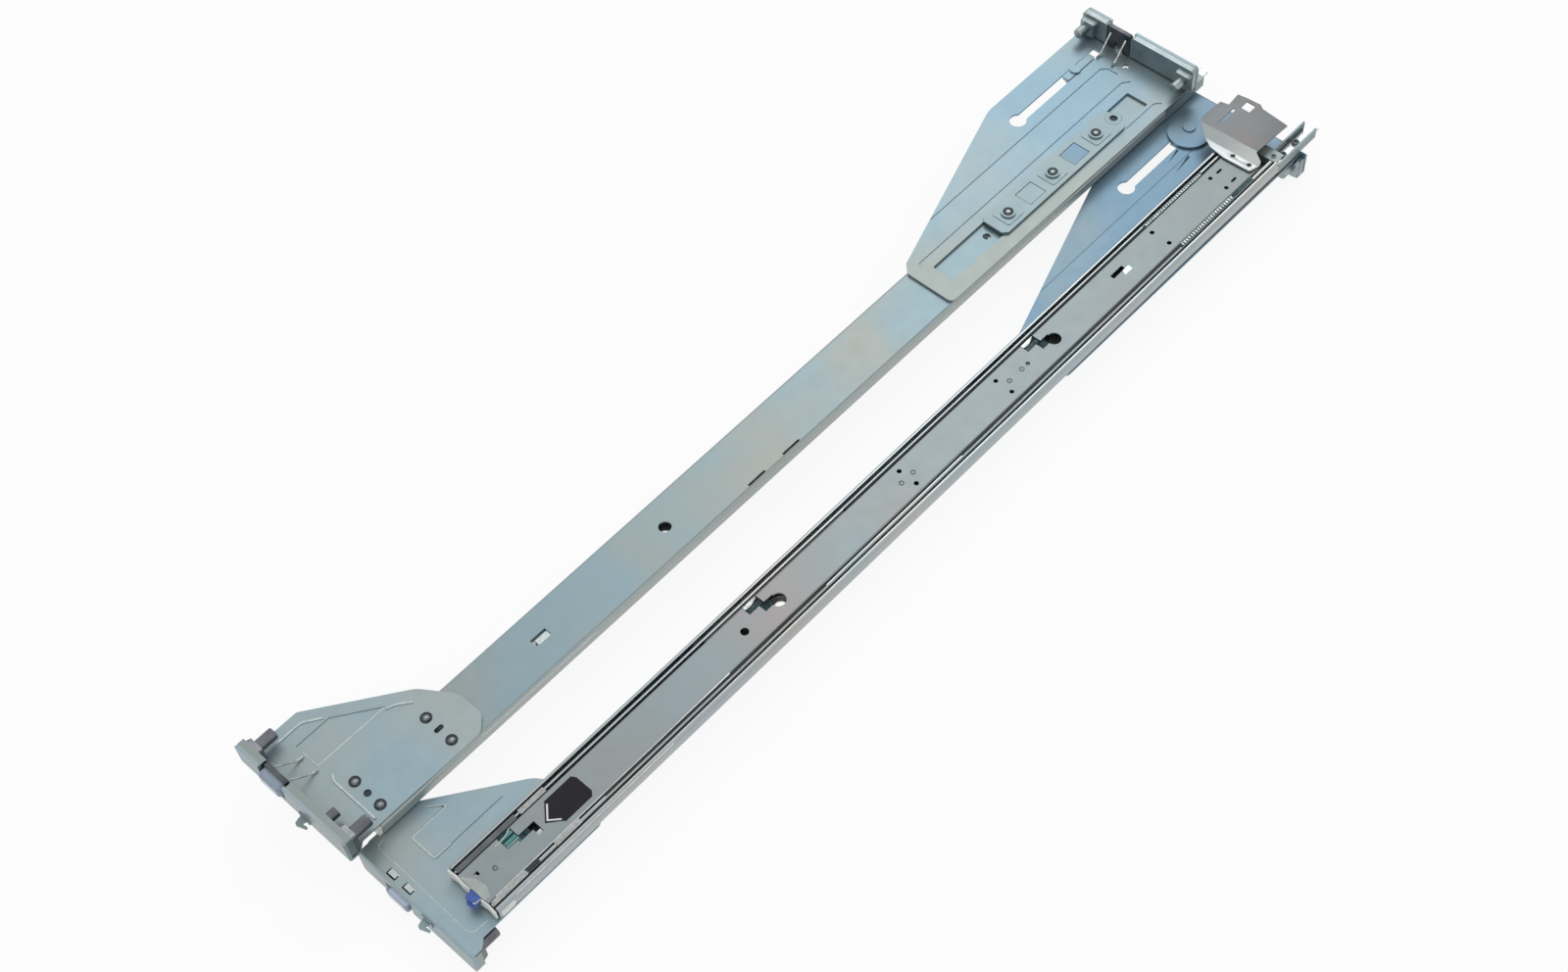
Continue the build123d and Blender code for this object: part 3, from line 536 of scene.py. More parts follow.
def skin(rings: np.ndarray, finish: Finish, loop: bool = False) -> Shape:
    """Joins a grid of rings into a closed skin.

    rings[j, i] is point i of ring j. Point i of a ring is joined to point i of the next one by
    quads. The first and last rings are filled, or joined to each other where loop is set.

    Args:
        rings: points in mm, ring by ring, each ring anticlockwise seen from the next.
        finish: the skin's finish.
        loop: whether the last ring joins the first.

    Returns:
        The skin, with its faces outwards.
    """
    count, around, _ = rings.shape
    rows = np.arange(count if loop else count - 1)
    j, i = np.meshgrid(rows, np.arange(around), indexing="ij")
    up, on = (j + 1) % count, (i + 1) % around
    quads = np.stack([j * around + i, j * around + on, up * around + on, up * around + i], axis=-1)
    faces = [tuple(quad) for quad in quads.reshape(-1, 4).tolist()]
    if not loop:
        faces += [tuple(range(around))[::-1], tuple(range((count - 1) * around, count * around))]
    return Shape(rings.reshape(-1, 3), faces, finish)


def mitres(outline: np.ndarray, closed: bool = True) -> np.ndarray:
    """Left-hand offset directions at the corners of a line, long enough to keep its width.

    At each corner the left normals of its two runs are added, and the sum is divided by one
    plus their dot product.

    Args:
        outline: the line's corners, n by 2.
        closed: whether the last corner joins the first.

    Returns:
        One direction per corner, n by 2.
    """
    runs = np.roll(outline, -1, axis=0) - outline
    if not closed:
        runs[-1] = runs[-2]
    runs /= np.linalg.norm(runs, axis=1)[:, None]
    after = np.column_stack([-runs[:, 1], runs[:, 0]])
    before = np.roll(after, 1, axis=0)
    if not closed:
        before[0] = after[0]
    return (after + before) / (1.0 + np.sum(after * before, axis=1))[:, None]


def slab(
    outline: Line,
    low: float,
    high: float,
    finish: Finish,
    edge: float = SOFT_EDGE,
    axes: tuple[int, int, int] = (0, 1, 2),
) -> Shape:
    """A flat piece with softened edges: an edge profile carried round an outline.

    Ring j is the outline moved inwards by the profile's inset j, at the profile's height j.

    Args:
        outline: the corners in mm, anticlockwise, along the first two of axes.
        low: where it starts along the third of axes.
        high: where it ends.
        finish: its finish.
        edge: how far its corners are cut back.
        axes: which of x, y and z each direction is.

    Returns:
        The closed skin.
    """
    corners = np.asarray(outline, float)
    x, y = corners.T
    if np.sum(x * np.roll(y, -1) - y * np.roll(x, -1)) < 0:
        corners = corners[::-1]
    inset = np.array([edge, 0.0, 0.0, edge])
    height = np.array([low, low + edge, high - edge, high])
    flat = corners[None] + inset[:, None, None] * mitres(corners)[None]
    upward = np.broadcast_to(height[:, None, None], (*flat.shape[:2], 1))
    local = np.concatenate([flat, upward], axis=2)
    rings = np.empty_like(local)
    rings[..., list(axes)] = local
    shape = skin(rings, finish)
    return shape.turned_over() if axes in MIRRORED_AXES else shape


def bar(
    x: Pair,
    y: Pair,
    z: Pair,
    finish: Finish,
    edge: float = SOFT_EDGE,
    axes: tuple[int, int, int] = (0, 1, 2),
) -> Shape:
    """A slab on a rectangle.

    Args:
        x: where it starts and ends along the first of axes.
        y: its two sides along the second of axes, in any order.
        z: its lower and upper face along the third of axes.
        finish: its finish.
        edge: how far its corners are cut back.
        axes: which of x, y and z each direction is.

    Returns:
        The closed skin.
    """
    (start, end), (low, high) = x, sorted(y)
    return slab([(start, low), (end, low), (end, high), (start, high)], *z, finish, edge, axes)


def ribbon(line: Line, thickness: float) -> np.ndarray:
    """The outline of a folded strip: its centre line moved half a thickness to each side."""
    centre = np.asarray(line, float)
    aside = mitres(centre, closed=False) * thickness / 2
    return np.concatenate([centre - aside, (centre + aside)[::-1]])


def rounded(line: Line, cut: float, steps: int = 5) -> np.ndarray:
    """Rounds a line's inner corners with quadratic curves that start cut mm from each corner.

    Args:
        line: the corners.
        cut: how far from a corner its curve starts.
        steps: points on each curve.

    Returns:
        The rounded line.
    """
    corners = np.asarray(line, float)
    to_next = corners[1:] - corners[:-1]
    to_next /= np.linalg.norm(to_next, axis=1)[:, None]
    start = corners[1:-1] - to_next[:-1] * cut
    end = corners[1:-1] + to_next[1:] * cut
    t = np.linspace(0.0, 1.0, steps)[None, :, None]
    curve = (
        (1 - t) ** 2 * start[:, None]
        + 2 * t * (1 - t) * corners[1:-1, None]
        + t**2 * end[:, None]
    )
    return np.concatenate([corners[:1], curve.reshape(-1, corners.shape[1]), corners[-1:]])


def angles(sides: int) -> np.ndarray:
    """The directions of that many even steps round a circle, in radians."""
    return np.arange(sides) * 2 * math.pi / sides


def tube(
    line: np.ndarray, radius: float, finish: Finish, across: Triple, sides: int = 10
) -> Shape:
    """Wire: a circle carried along a line.

    Ring j is the line's point j plus radius times (cosine times a sideways direction plus sine
    times the one square to it), where both are square to the line there.

    Args:
        line: the wire's centre line, n by 3.
        radius: of the wire.
        finish: its finish.
        across: a direction that the line never runs along.
        sides: points round the circle.

    Returns:
        The closed skin.
    """
    ahead = np.gradient(line, axis=0)
    ahead /= np.linalg.norm(ahead, axis=1)[:, None]
    side = np.cross(ahead, np.array(across))
    side /= np.linalg.norm(side, axis=1)[:, None]
    up = np.cross(ahead, side)
    angle = angles(sides)
    rings = (
        line[:, None]
        + radius * np.cos(angle)[None, :, None] * side[:, None]
        + radius * np.sin(angle)[None, :, None] * up[:, None]
    )
    return skin(rings, finish)


def turned(
    centre: Pair, profile: Line, finish: Finish, loop: bool = False, sides: int = 36
) -> Shape:
    """A round piece: a profile of (radius, height) turned about an upright line at centre.

    Args:
        centre: x and y of the line.
        profile: from the foot's middle outwards and up, or a closed ring's outline.
        finish: its finish.
        loop: whether the profile closes on itself, as a ring's does.
        sides: points round the circle.

    Returns:
        The closed skin.
    """
    radius, height = np.asarray(profile, float).T
    angle = angles(sides)
    rings = np.stack(
        [
            centre[0] + radius[:, None] * np.cos(angle)[None],
            centre[1] + radius[:, None] * np.sin(angle)[None],
            np.broadcast_to(height[:, None], (len(radius), sides)),
        ],
        axis=-1,
    )
    return skin(rings, finish, loop)


def make_piece(
    side: Side,
    name: str,
    shapes: list[Shape],
    body: str,
    stands_for: str | None = None,
) -> bpy.types.Object:
    """Joins shapes into one object of a rail.

    Args:
        side: which rail.
        name: the piece's plain name.
        shapes: its skins, each with its own finish.
        body: the CAD body that it rides on.
        stands_for: the CAD node that it takes the place of, without the side.

    Returns:
        The object.
    """
    finishes = list(dict.fromkeys(shape.finish for shape in shapes))
    starts = np.cumsum([0] + [len(shape.points) for shape in shapes])
    faces, kinds = [], []
    for start, shape in zip(starts, shapes):
        listed = shape.faces if side is Side.LEFT else shape.turned_over().faces
        faces += [tuple(int(start) + corner for corner in face) for face in listed]
        kinds += [finishes.index(shape.finish)] * len(listed)
    mesh = bpy.data.meshes.new(side.node(name))
    points = side.place(np.concatenate([shape.points for shape in shapes]))
    mesh.from_pydata(points.tolist(), [], faces)
    for finish in finishes:
        mesh.materials.append(WARDROBE.material(finish))
    mesh.polygons.foreach_set("material_index", kinds)
    mesh.shade_smooth()
    mesh.set_sharp_from_angle(angle=SHARP_FROM)
    mesh.update()
    piece = bpy.data.objects.new(side.node(name), mesh)
    bpy.context.scene.collection.objects.link(piece)
    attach(piece, body)
    if stands_for:
        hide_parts(side.node(stands_for))
    log.info("%s: %d faces on %s", piece.name, len(faces), body)
    return piece


@dataclass
class InnerFace:
    """What is seen on and in the face of the left rail's inner member."""

    face_z: float = 9.8
    label_start: float = 73.5
    label_end: float = 102.6
    label_half: float = 8.4
    film: float = 0.08
    slot_ends: Pair = (250.9, 488.2)
    mouth_offset: float = 11.8
    mouth_half: float = 4.9
    leaf_z: Pair = (8.7, 9.2)
    rings: tuple[Triple, ...] = (
        (39.5, 0.0, 1.7),
        (352.5, 0.0, 1.4),
        (362.3, 0.0, 1.4),
        (447.5, 0.0, 1.4),
        (458.6, 0.0, 1.4),
    )

    def build(self) -> None:
        """Makes the label, the slot pieces with their painted shade, and the marks."""
        self.label()
        self.guides()
        self.lock_edges()
        self.marks()

    def label(self) -> None:
        """A black film label, pointed to the front, with a plain white arrowhead on it."""
        start, end, half = self.label_start, self.label_end, self.label_half
        outline = [
            (start, -1.0),
            (start + 7.2, -half + 1.2),
            (start + 8.0, -half),
            (end - 2.2, -half),
            (end, -half + 2.6),
            (end, half - 2.6),
            (end - 1.6, half),
            (start + 8.4, half),
        ]
        film = slab(outline, self.face_z, self.face_z + self.film, Finish.LABEL, 0.02)
        arrow = [(start + 7.3, -half + 2.6), (start + 2.0, -0.8), (start + 8.3, half - 2.2)]
        head = slab(
            ribbon(arrow, 0.9), self.face_z + 0.07, self.face_z + 0.12, Finish.PRINT, 0.01
        )
        make_piece(Side.LEFT, "front_label", [film, head], "left_inner")

    def guides(self) -> None:
        """Dark pieces of painted shade below the mouths of the middle and rear slots, each with a
        bright piece and a thin bright lip.
        """
        shapes = []
        for end in self.slot_ends:
            mouth = end - self.mouth_offset
            front, rear = mouth - self.mouth_half, mouth + self.mouth_half
            lip = [(mouth - 5.0, 9.2), (mouth - 1.5, 8.8), (mouth + 2.0, 9.8), (mouth + 4.6, 11.3)]
            lower = [(front, 5.6), (rear, 5.6), (rear, 8.6), (front, 8.2)]
            upper = [(front, 9.7), (mouth + 0.5, 9.7), (mouth + 4.2, 11.6), (front, 11.6)]
            fold = ribbon([(6.6, 8.2), (1.2, 6.9), (-1.6, 6.6)], 0.5)
            along = (mouth - 0.6, mouth + 8.8)
            shapes += [
                slab(ribbon(rounded(lip, 1.4), 0.5), 9.0, 9.84, Finish.PALE_STEEL_AND_HIGHLIGHT, 0.08),
                # painted shade: a dark piece in the slot below the mouth, and a dark fold after the
                # bright piece
                slab(lower, *self.leaf_z, Finish.DARK_STEEL_AND_SHADE, 0.1),
                slab(upper, *self.leaf_z, Finish.BRIGHT, 0.1),
                slab(fold, *along, Finish.DARK_STEEL_AND_SHADE, 0.1, (1, 2, 0)),
            ]
        make_piece(Side.LEFT, "slot_guides", shapes, "left_inner")

    def lock_edges(self) -> None:
        """The bright lip and a bright edge of the leaf that locks the front slot, with dark pieces
        of painted shade at its folds and in the slot below it.
        """
        lip = ribbon(rounded([(47.4, 9.0), (52.0, 8.6), (56.4, 9.6), (59.4, 11.2)], 1.6), 0.55)
        fold = [(51.0, 10.1), (59.2, 10.6), (59.2, 11.7), (51.0, 11.7)]
        shapes = [
            slab(lip, 9.0, 9.86, Finish.PALE_STEEL_AND_HIGHLIGHT, 0.08),
            # painted shade: the dark pieces at the leaf's folds, and the last one in the slot below
            # it
            slab(fold, 9.0, 9.7, Finish.DARK_STEEL_AND_SHADE, 0.08),
            bar((51.3, 59.3), (6.9, 7.9), (9.2, 9.82), Finish.DARK_STEEL_AND_SHADE, 0.08),
            bar((51.3, 59.3), (3.4, 3.9), (9.2, 9.84), Finish.PALE_STEEL_AND_HIGHLIGHT, 0.08),
            bar((59.9, 66.0), (1.1, 4.2), (8.7, 9.1), Finish.DARK_STEEL_AND_SHADE, 0.1),
        ]
        make_piece(Side.LEFT, "lock_leaf_edges", shapes, "left_lock_leaf")

    def marks(self) -> None:
        """The lanced tab near the rear end, and a darker ring, painted shade of a pressed dimple,
        round each closed hole.
        """
        corners = [(553.0, -1.9), (560.4, -1.9), (560.4, 1.6), (555.0, 1.6)]
        tab = slab(corners, 9.55, 9.92, Finish.PALE_STEEL_AND_HIGHLIGHT, 0.1)
        rings = [
            turned(
                (x, y),
                [(r, 9.7), (r, 9.84), (0.9 * r, 9.92), (0.68 * r, 9.92), (0.62 * r, 9.7)],
                Finish.RIVET_STEEL_AND_SHADE,
                loop=True,
            )
            for x, y, r in self.rings
        ]
        make_piece(Side.LEFT, "inner_marks", [tab, *rings], "left_inner")


@dataclass
class GapStrips:
    """The narrow pieces in the gaps along both edges of the left rail's inner member."""

    inner_edge: float = 12.0
    cover_edge: float = 15.2
    lip_top: float = 9.62
    pad_ribs: Pair = (71.0, 84.6)
    rib_width: float = 0.5
    catch_ribs: int = 7
    tooth_pitch: float = 2.2
    tooth_foot: float = 12.1
    tooth_root: float = 12.35
    # Each run: which edge, the teeth's start and end, the base's end, how far the teeth reach.
    tooth_runs: tuple[tuple[int, float, float, float, float], ...] = (
        (-1, 594.0, 645.0, 664.0, 2.0),
        (1, 592.0, 646.0, 648.0, 1.3),
    )
    # Each strip of painted gap shade: which edge, its start and end, its outer side.
    strips: tuple[tuple[int, float, float, float], ...] = (
        (-1, 105.0, 275.0, 13.7),
        (-1, 389.0, 592.0, 13.7),
        (1, 319.0, 590.0, 13.3),
    )
    cage_starts: tuple[tuple[int, float], ...] = ((1, 206.0), (-1, 276.0))
    cage_length: float = 112.0

    def build(self) -> None:
        """Makes the covers, the catch, the teeth, the edges of the cage and the strips of painted
        shade.
        """
        self.covers()
        self.catch()
        self.teeth()
        self.cage_edges()
        self.gap_shade_strips()

    def cover(self, x: Pair, edge: int, finish: Finish, z: Pair, soft: float = 0.06) -> Shape:
        """A flat piece across the gap at one edge of the inner member."""
        return bar(x, (edge * self.inner_edge, edge * self.cover_edge), z, finish, soft)

    def covers(self) -> None:
        """Bright strips over the gaps at the front, and a pad on each edge behind them."""
        shapes = [
            self.cover((25.0, 48.6), -1, Finish.COVER, (self.lip_top, 9.84)),
            self.cover((69.0, 87.0), -1, Finish.COVER, (self.lip_top, 9.9)),
            self.cover((25.0, 66.0), 1, Finish.SMOKED, (self.lip_top, 9.8)),
            self.cover((69.0, 87.0), 1, Finish.COVER, (self.lip_top, 9.86)),
        ]
        shapes += [
            self.cover((x, x + self.rib_width), edge, Finish.BRIGHT, (9.8, 10.0), 0.05)
            for edge in (-1, 1)
            for x in self.pad_ribs
        ]
        make_piece(Side.LEFT, "gap_covers", shapes, "left_inner")

    def catch(self) -> None:
        """The dark catch on the lower edge, a block with ribs across it."""
        block = bar((48.9, 57.4), (-14.8, -12.0), (self.lip_top, 10.0), Finish.DARK_CATCH)
        ribs = [
            bar((x, x + 0.55), (-14.7, -12.1), (9.9, 10.35), Finish.DARK_CATCH, 0.08)
            for x in np.linspace(49.3, 56.4, self.catch_ribs)
        ]
        make_piece(Side.LEFT, "edge_catch", [block, *ribs], "left_inner")

    def teeth(self) -> None:
        """Toothed strips near the rear end: a square wave along X stands out from each edge."""
        foot, root, step = self.tooth_foot, self.tooth_root, self.tooth_pitch / 2
        shapes = []
        for edge, start, end, base_end, out in self.tooth_runs:
            starts = np.arange(start, end - step, self.tooth_pitch)
            x = (starts[:, None] + np.array([0.0, 0.0, step, step])).ravel()
            y = np.tile([root, foot + out, foot + out, root], len(starts))
            last = starts[-1] + self.tooth_pitch
            back = [[last, root], [last, foot], [start, foot]]
            outline = np.concatenate([np.column_stack([x, y]), back]) * np.array([1.0, edge])
            sides = (edge * self.inner_edge, edge * (12.5 + out))
            shapes += [
                slab(outline, 9.7, 9.95, Finish.TEETH, 0.03),
                # painted shade: the dark base under the teeth, which shows between and behind them
                bar((start - 2, base_end), sides, (self.lip_top, 9.74), Finish.DARK_STEEL_AND_SHADE, 0.04),
            ]
        make_piece(Side.LEFT, "edge_teeth", shapes, "left_inner")

    def cage_edges(self) -> None:
        """The flat upper edges of the inner cage's two arms, as long as the arms."""
        shapes = [
            bar(
                (start, start + self.cage_length),
                (edge * 12.2, edge * 13.4),
                (7.5, 7.9),
                Finish.CAGE,
            )
            for edge, start in self.cage_starts
        ]
        make_piece(Side.LEFT, "inner_cage_edges", shapes, "left_inner_cage")

    def gap_shade_strips(self) -> None:
        """Dark strips of painted shade along the inner member's edges, where the cage isn't in the
        gap.
        """
        shapes = [
            bar(
                (start, end),
                (edge * 12.02, edge * out),
                (self.lip_top, 9.72),
                Finish.GAP_SHADE,
                0.04,
            )
            for edge, start, end, out in self.strips
        ]
        make_piece(Side.LEFT, "gap_shade_strips", shapes, "left_inner")


@dataclass
class FrontTip:
    """The moulded tip on the front end of the left rail's slide."""

    front_x: float = 23.1
    half_width: float = 17.8
    tip_z: Pair = (2.2, 9.5)

    def lip(self, y: Pair, z: Pair) -> Shape:
        """A stretch of the lip: its centre line is x = front_x + 0.2 * cos(0.55 * y).

        Args:
            y: where it starts and ends along Y.
            z: its lower and upper edge.

        Returns:
            The closed skin.
        """
        steps = np.linspace(*y, 31)
        x = self.front_x + 0.2 * np.cos(0.55 * steps)
        return slab(ribbon(np.column_stack([x, steps]), 1.1), *z, Finish.WHITE_TIP, 0.3)

    def build(self) -> None:
        """Makes the lip with its blocks, the pad on the wall and the pull tab."""
        window = [(23.6, -9.6), (27.2, -9.8), (30.0, -3.8), (28.6, 3.5), (24.4, 9.9), (23.6, 9.9)]
        shapes = [
            self.lip((-self.half_width, -7.2), self.tip_z),
            self.lip((1.3, self.half_width), self.tip_z),
            self.lip((-7.4, 1.5), (2.2, 4.4)),
            bar((23.2, 31.0), (-10.0, -7.6), (5.0, 8.4), Finish.WHITE_TIP, 0.3),
            bar((23.2, 31.0), (1.3, 10.0), (5.0, 8.4), Finish.WHITE_TIP, 0.3),
            slab(window, 9.7, 9.95, Finish.MILKY, 0.1),
        ]
        make_piece(
            Side.LEFT, "tip_lip", shapes, "left_inner", "front_bumper"
        )
        outline = [(25.6, 2.4), (34.0, 2.4), (35.2, 4.6), (34.0, 7.6), (25.6, 7.6)]
        pad = slab(outline, -19.35, -18.8, Finish.WHITE_TIP, 0.2, (0, 2, 1))
        make_piece(Side.LEFT, "wall_pad", [pad], "rack_side")
        self.pull_tab()

    def pull_tab(self) -> None:
        """The blue tab on its foot, with a pale strip along its lower edge."""
        tab = [(24.2, 0.6), (19.2, 0.7), (18.2, -0.3), (18.9, -5.2), (20.1, -6.4), (24.2, -6.4)]
        foot = [(23.0, -0.6), (18.0, -0.9), (16.9, -2.2), (17.4, -6.6), (19.0, -6.9), (23.0, -6.9)]
        edge = ribbon([(18.7, -5.3), (20.0, -6.5), (23.6, -6.5)], 0.3)
        shapes = [
            slab(tab, 6.9, 9.3, Finish.BLUE_TAB, 0.3),
            slab(foot, 4.8, 7.0, Finish.BLUE_TAB, 0.5),
            slab(edge, 8.6, 9.1, Finish.PRINT, 0.05),
        ]
        make_piece(
            Side.LEFT, "pull_tab", shapes, "left_release", "release_tab"
        )


@dataclass
class PressedLines:
    """Painted highlights along the crease lines pressed into the brackets, ribs, and two small
    lanced marks.
    """

    bead_width: float = 1.36
    edge_width: float = 0.9
    fold_width: float = 0.6
    rib_radius: float = 0.32
    rib_z: float = -0.45
    bead_z: Pair = (-2.04, -1.45)
    step_z: Pair = (-1.7, -0.98)
    mark_z: Pair = (-0.4, -0.2)

    def rib(self, corners: Line) -> Shape:
        """A slim rounded rib along corners, half sunk in the left rear plate's face."""
        flat = rounded(corners, 1.5)
        path = np.column_stack([flat, np.full(len(flat), self.rib_z)])
        return tube(path, self.rib_radius, Finish.REAR_PLATE_LEFT, (0.0, 0.0, 1.0), 8)

    def highlight_band(self, corners: Line, width: float, z: Pair) -> Shape:
        """A painted highlight: a pale strip of some width along corners."""
        return slab(ribbon(rounded(corners, 1.7), width), *z, Finish.PALE_STEEL_AND_HIGHLIGHT, 0.15)

    def build(self) -> None:
        """Makes the painted highlights on both front plates, and the left rear plate's ribs and
        marks.
        """
        fold = [(13.7, 60.6), (9.4, 59.8), (9.1, 31.3), (8.4, -10.0), (10.4, -13.2), (19.8, -13.7)]
        step = [(41.0, 58.4), (49.4, 49.8), (24.4, 49.8), (24.4, 31.9), (36.0, 31.9)]
        left = [
            self.highlight_band(fold, self.fold_width, (-0.2, 0.2)),
            self.highlight_band(step, self.edge_width, (0.0, 0.56)),
        ]
        beads = [
            [(9.5, 58.6), (35.5, 58.6), (45.2, 51.8)],
            [(24.4, -14.5), (24.4, 18.0), (26.4, 22.4)],
            [(70.6, 30.6), (76.0, 28.6), (83.6, 22.4)],
        ]
        right = [self.highlight_band(bead, self.bead_width, self.bead_z) for bead in beads]
        step = [(24.4, 44.5), (24.4, 31.9), (71.0, 31.9)]
        right.append(self.highlight_band(step, self.edge_width, self.step_z))
        for side, bands in ((Side.LEFT, left), (Side.RIGHT, right)):
            make_piece(side, "front_crease_highlights", bands, "rack_side")
        marks = [
            [(649.9, 38.6), (662.3, 40.0), (662.3, 41.6)],
            [(646.1, 29.9), (662.5, 31.4), (662.5, 33.2)],
        ]
        shapes = [
            self.rib([(518.0, 33.7), (683.0, 33.7), (687.5, 30.0), (687.5, 23.5)]),
            self.rib([(500.0, 20.2), (690.0, 20.2)]),
            *[slab(mark, *self.mark_z, Finish.DARK_STEEL_AND_SHADE, 0.05) for mark in marks],
        ]
        make_piece(Side.LEFT, "rear_ribs", shapes, "left_rear_bracket")


@dataclass
class RivetHeads:
    """Formed rivet heads on both rails, and the inserts and the eye of the strap."""

    front_x: Pair = (31.5, 81.6)
    front_y: float = 10.1
    front_radius: float = 3.35
    front_face: float = -1.72
    strap_x: Triple = (551.5, 594.25, 637.0)
    strap_radius: float = 3.3
    strap_face: float = -5.22
    arm_x: Pair = (696.0, 709.6)
    arm_y: float = -14.0
    arm_radius: float = 2.4
    arm_face: float = 4.9
    window_half_x: float = 7.1
    window_half_y: float = 6.0
    insert_z: Pair = (-3.45, -2.4)
    eye_x: float = 654.6

    def head(self, centre: Pair, radius: float, face: float) -> list[Shape]:
        """One head that stands out on the rack side: a dark ring of painted shade, a crown and a
        painted highlight in its middle.

        Args:
            centre: x and y of its axis.
            radius: of its rim.
            face: the height of the sheet's face.

        Returns:
            Its ring, crown and middle.
        """
        profiles = (
            (
                [(1.0, -0.2), (1.0, 0.12), (0.92, 0.24), (0.62, 0.24), (0.55, 0.1), (0.55, -0.2)],
                Finish.GROOVE,
                True,
            ),
            ([(0.56, -0.1), (0.56, 0.12), (0.47, 0.26), (0.2, 0.3)], Finish.RIVET_STEEL_AND_SHADE, False),
            ([(0.17, 0.2), (0.17, 0.34), (0.04, 0.38)], Finish.PALE_STEEL_AND_HIGHLIGHT, False),
        )
        return [
            turned(centre, [(r * radius, face - z) for r, z in profile], finish, loop).turned_over()
            for profile, finish, loop in profiles
        ]

    def heads(self, centres: list[Pair], radius: float, face: float) -> list[Shape]:
        """A head at each centre."""
        return [shape for centre in centres for shape in self.head(centre, radius, face)]

    def build(self) -> None:
        """Puts heads on the rivets of both rails, with the inserts between those of the strap."""
        front = [(x, y) for x in self.front_x for y in (-self.front_y, self.front_y)]
        strap = [(x, 0.0) for x in self.strap_x]
        for side in Side:
            shapes = self.heads(front, self.front_radius, self.front_face)
            make_piece(side, "front_rivet_heads", shapes, "rack_side")
            shapes = self.heads(strap, self.strap_radius, self.strap_face)
            make_piece(side, "strap_rivet_heads", shapes, "rack_side")
            self.strap_inserts(side)
            shapes = [self.ring((x, self.arm_y)) for x in self.arm_x]
            make_piece(side, "arm_rivet_rings", shapes, "rack_side")

    def ring(self, centre: Pair) -> Shape:
        """A blackened hollow rivet of the arm's channel, as a ring.

        Args:
            centre: x and y of its axis.

        Returns:
            The closed skin.
        """
        radius, face = self.arm_radius, self.arm_face
        profile = [
            (radius, face - 0.1),
            (radius, face + 0.5),
            (radius * 0.9, face + 0.7),
            (radius * 0.5, face + 0.7),
            (radius * 0.45, face + 0.4),
            (radius * 0.45, face - 0.1),
        ]
        return turned(centre, profile, Finish.BLACKENED, loop=True)

    def strap_inserts(self, side: Side) -> None:
        """Fills the strap's two square openings almost flush, and puts painted shade behind its
        eye, two holes and a slot.

        Args:
            side: which rail.
        """
        half_x, half_y = self.window_half_x, self.window_half_y
        shapes = [
            bar((x - half_x, x + half_x), (-half_y, half_y), self.insert_z, finish)
            for x, finish in ((572.9, Finish.STRAP), (615.6, Finish.REAR_PLATE_LEFT))
        ]
        eye = [(5.4, -2.2), (5.4, -3.6), (5.1, -3.8), (2.9, -3.8), (2.6, -3.6), (2.6, -2.2)]
        shapes.append(turned((self.eye_x, 0.0), eye, Finish.STRAP, loop=True).turned_over())
        # Each dark disc of painted shade, behind a hole or the eye: its x, its radius, its lower
        # and upper face.
        for x, radius, low, high in (
            (self.eye_x, 2.7, -2.6, -2.4),
            (529.8, 1.9, 0.3, 0.6),
            (self.front_x[0], 2.1, -1.0, -0.7),
        ):
            disc = [(radius, low), (radius, high), (0.1, high)]
            shapes.append(turned((x, 0.0), disc, Finish.GROOVE))
        # painted shade: a dark slab under the slot
        slot = [(79.0, -1.4), (84.5, -1.4), (84.5, 1.4), (78.7, 1.4), (78.7, -1.4)]
        shapes.append(slab(rounded(slot, 1.3), -1.0, -0.7, Finish.DARK_STEEL_AND_SHADE, 0.1))
        make_piece(side, "strap_inserts", shapes, "rack_side")


@dataclass
class EndPlates:
    """Small flat pieces at the ends of the left rail, and the right rail's lanced tab."""

    feet_y: Pair = (27.05, 39.25)
    foot_length: float = 5.3
    hole: Pair = (687.6, -12.4)

    def build(self) -> None:
        """Makes the latch's feet, the plate at the rear end and the lanced tab."""
        feet = [
            bar((3.15, 5.7), (y, y + self.foot_length), (-0.2, 0.14), Finish.PALE_STEEL_AND_HIGHLIGHT)
            for y in self.feet_y
        ]
        make_piece(Side.LEFT, "latch_feet", feet, "left_front_latch")
        corners = [(684.3, -16.8), (692.8, -16.8), (692.8, -2.4), (690.0, -0.6), (684.3, -0.6)]
        ring = [(1.9, 9.1), (1.9, 9.4), (1.6, 9.5), (1.2, 9.5), (1.1, 9.1)]
        shapes = [
            slab(corners, 8.2, 9.2, Finish.STRAP, 0.2),
            # painted shade: a darker ring round the plate's hole, and a dark disc in it
            turned(self.hole, ring, Finish.RIVET_STEEL_AND_SHADE, loop=True),
            turned(self.hole, [(1.1, 9.1), (1.1, 9.28), (0.1, 9.28)], Finish.GROOVE),
        ]
        make_piece(Side.LEFT, "arm_plate", shapes, "rack_side")
        tab = bar((152.8, 161.2), (-2.4, 1.3), (-0.16, 0.1), Finish.PALE_STEEL_AND_HIGHLIGHT, 0.06)
        make_piece(Side.RIGHT, "outer_tab", [tab], "rack_side")


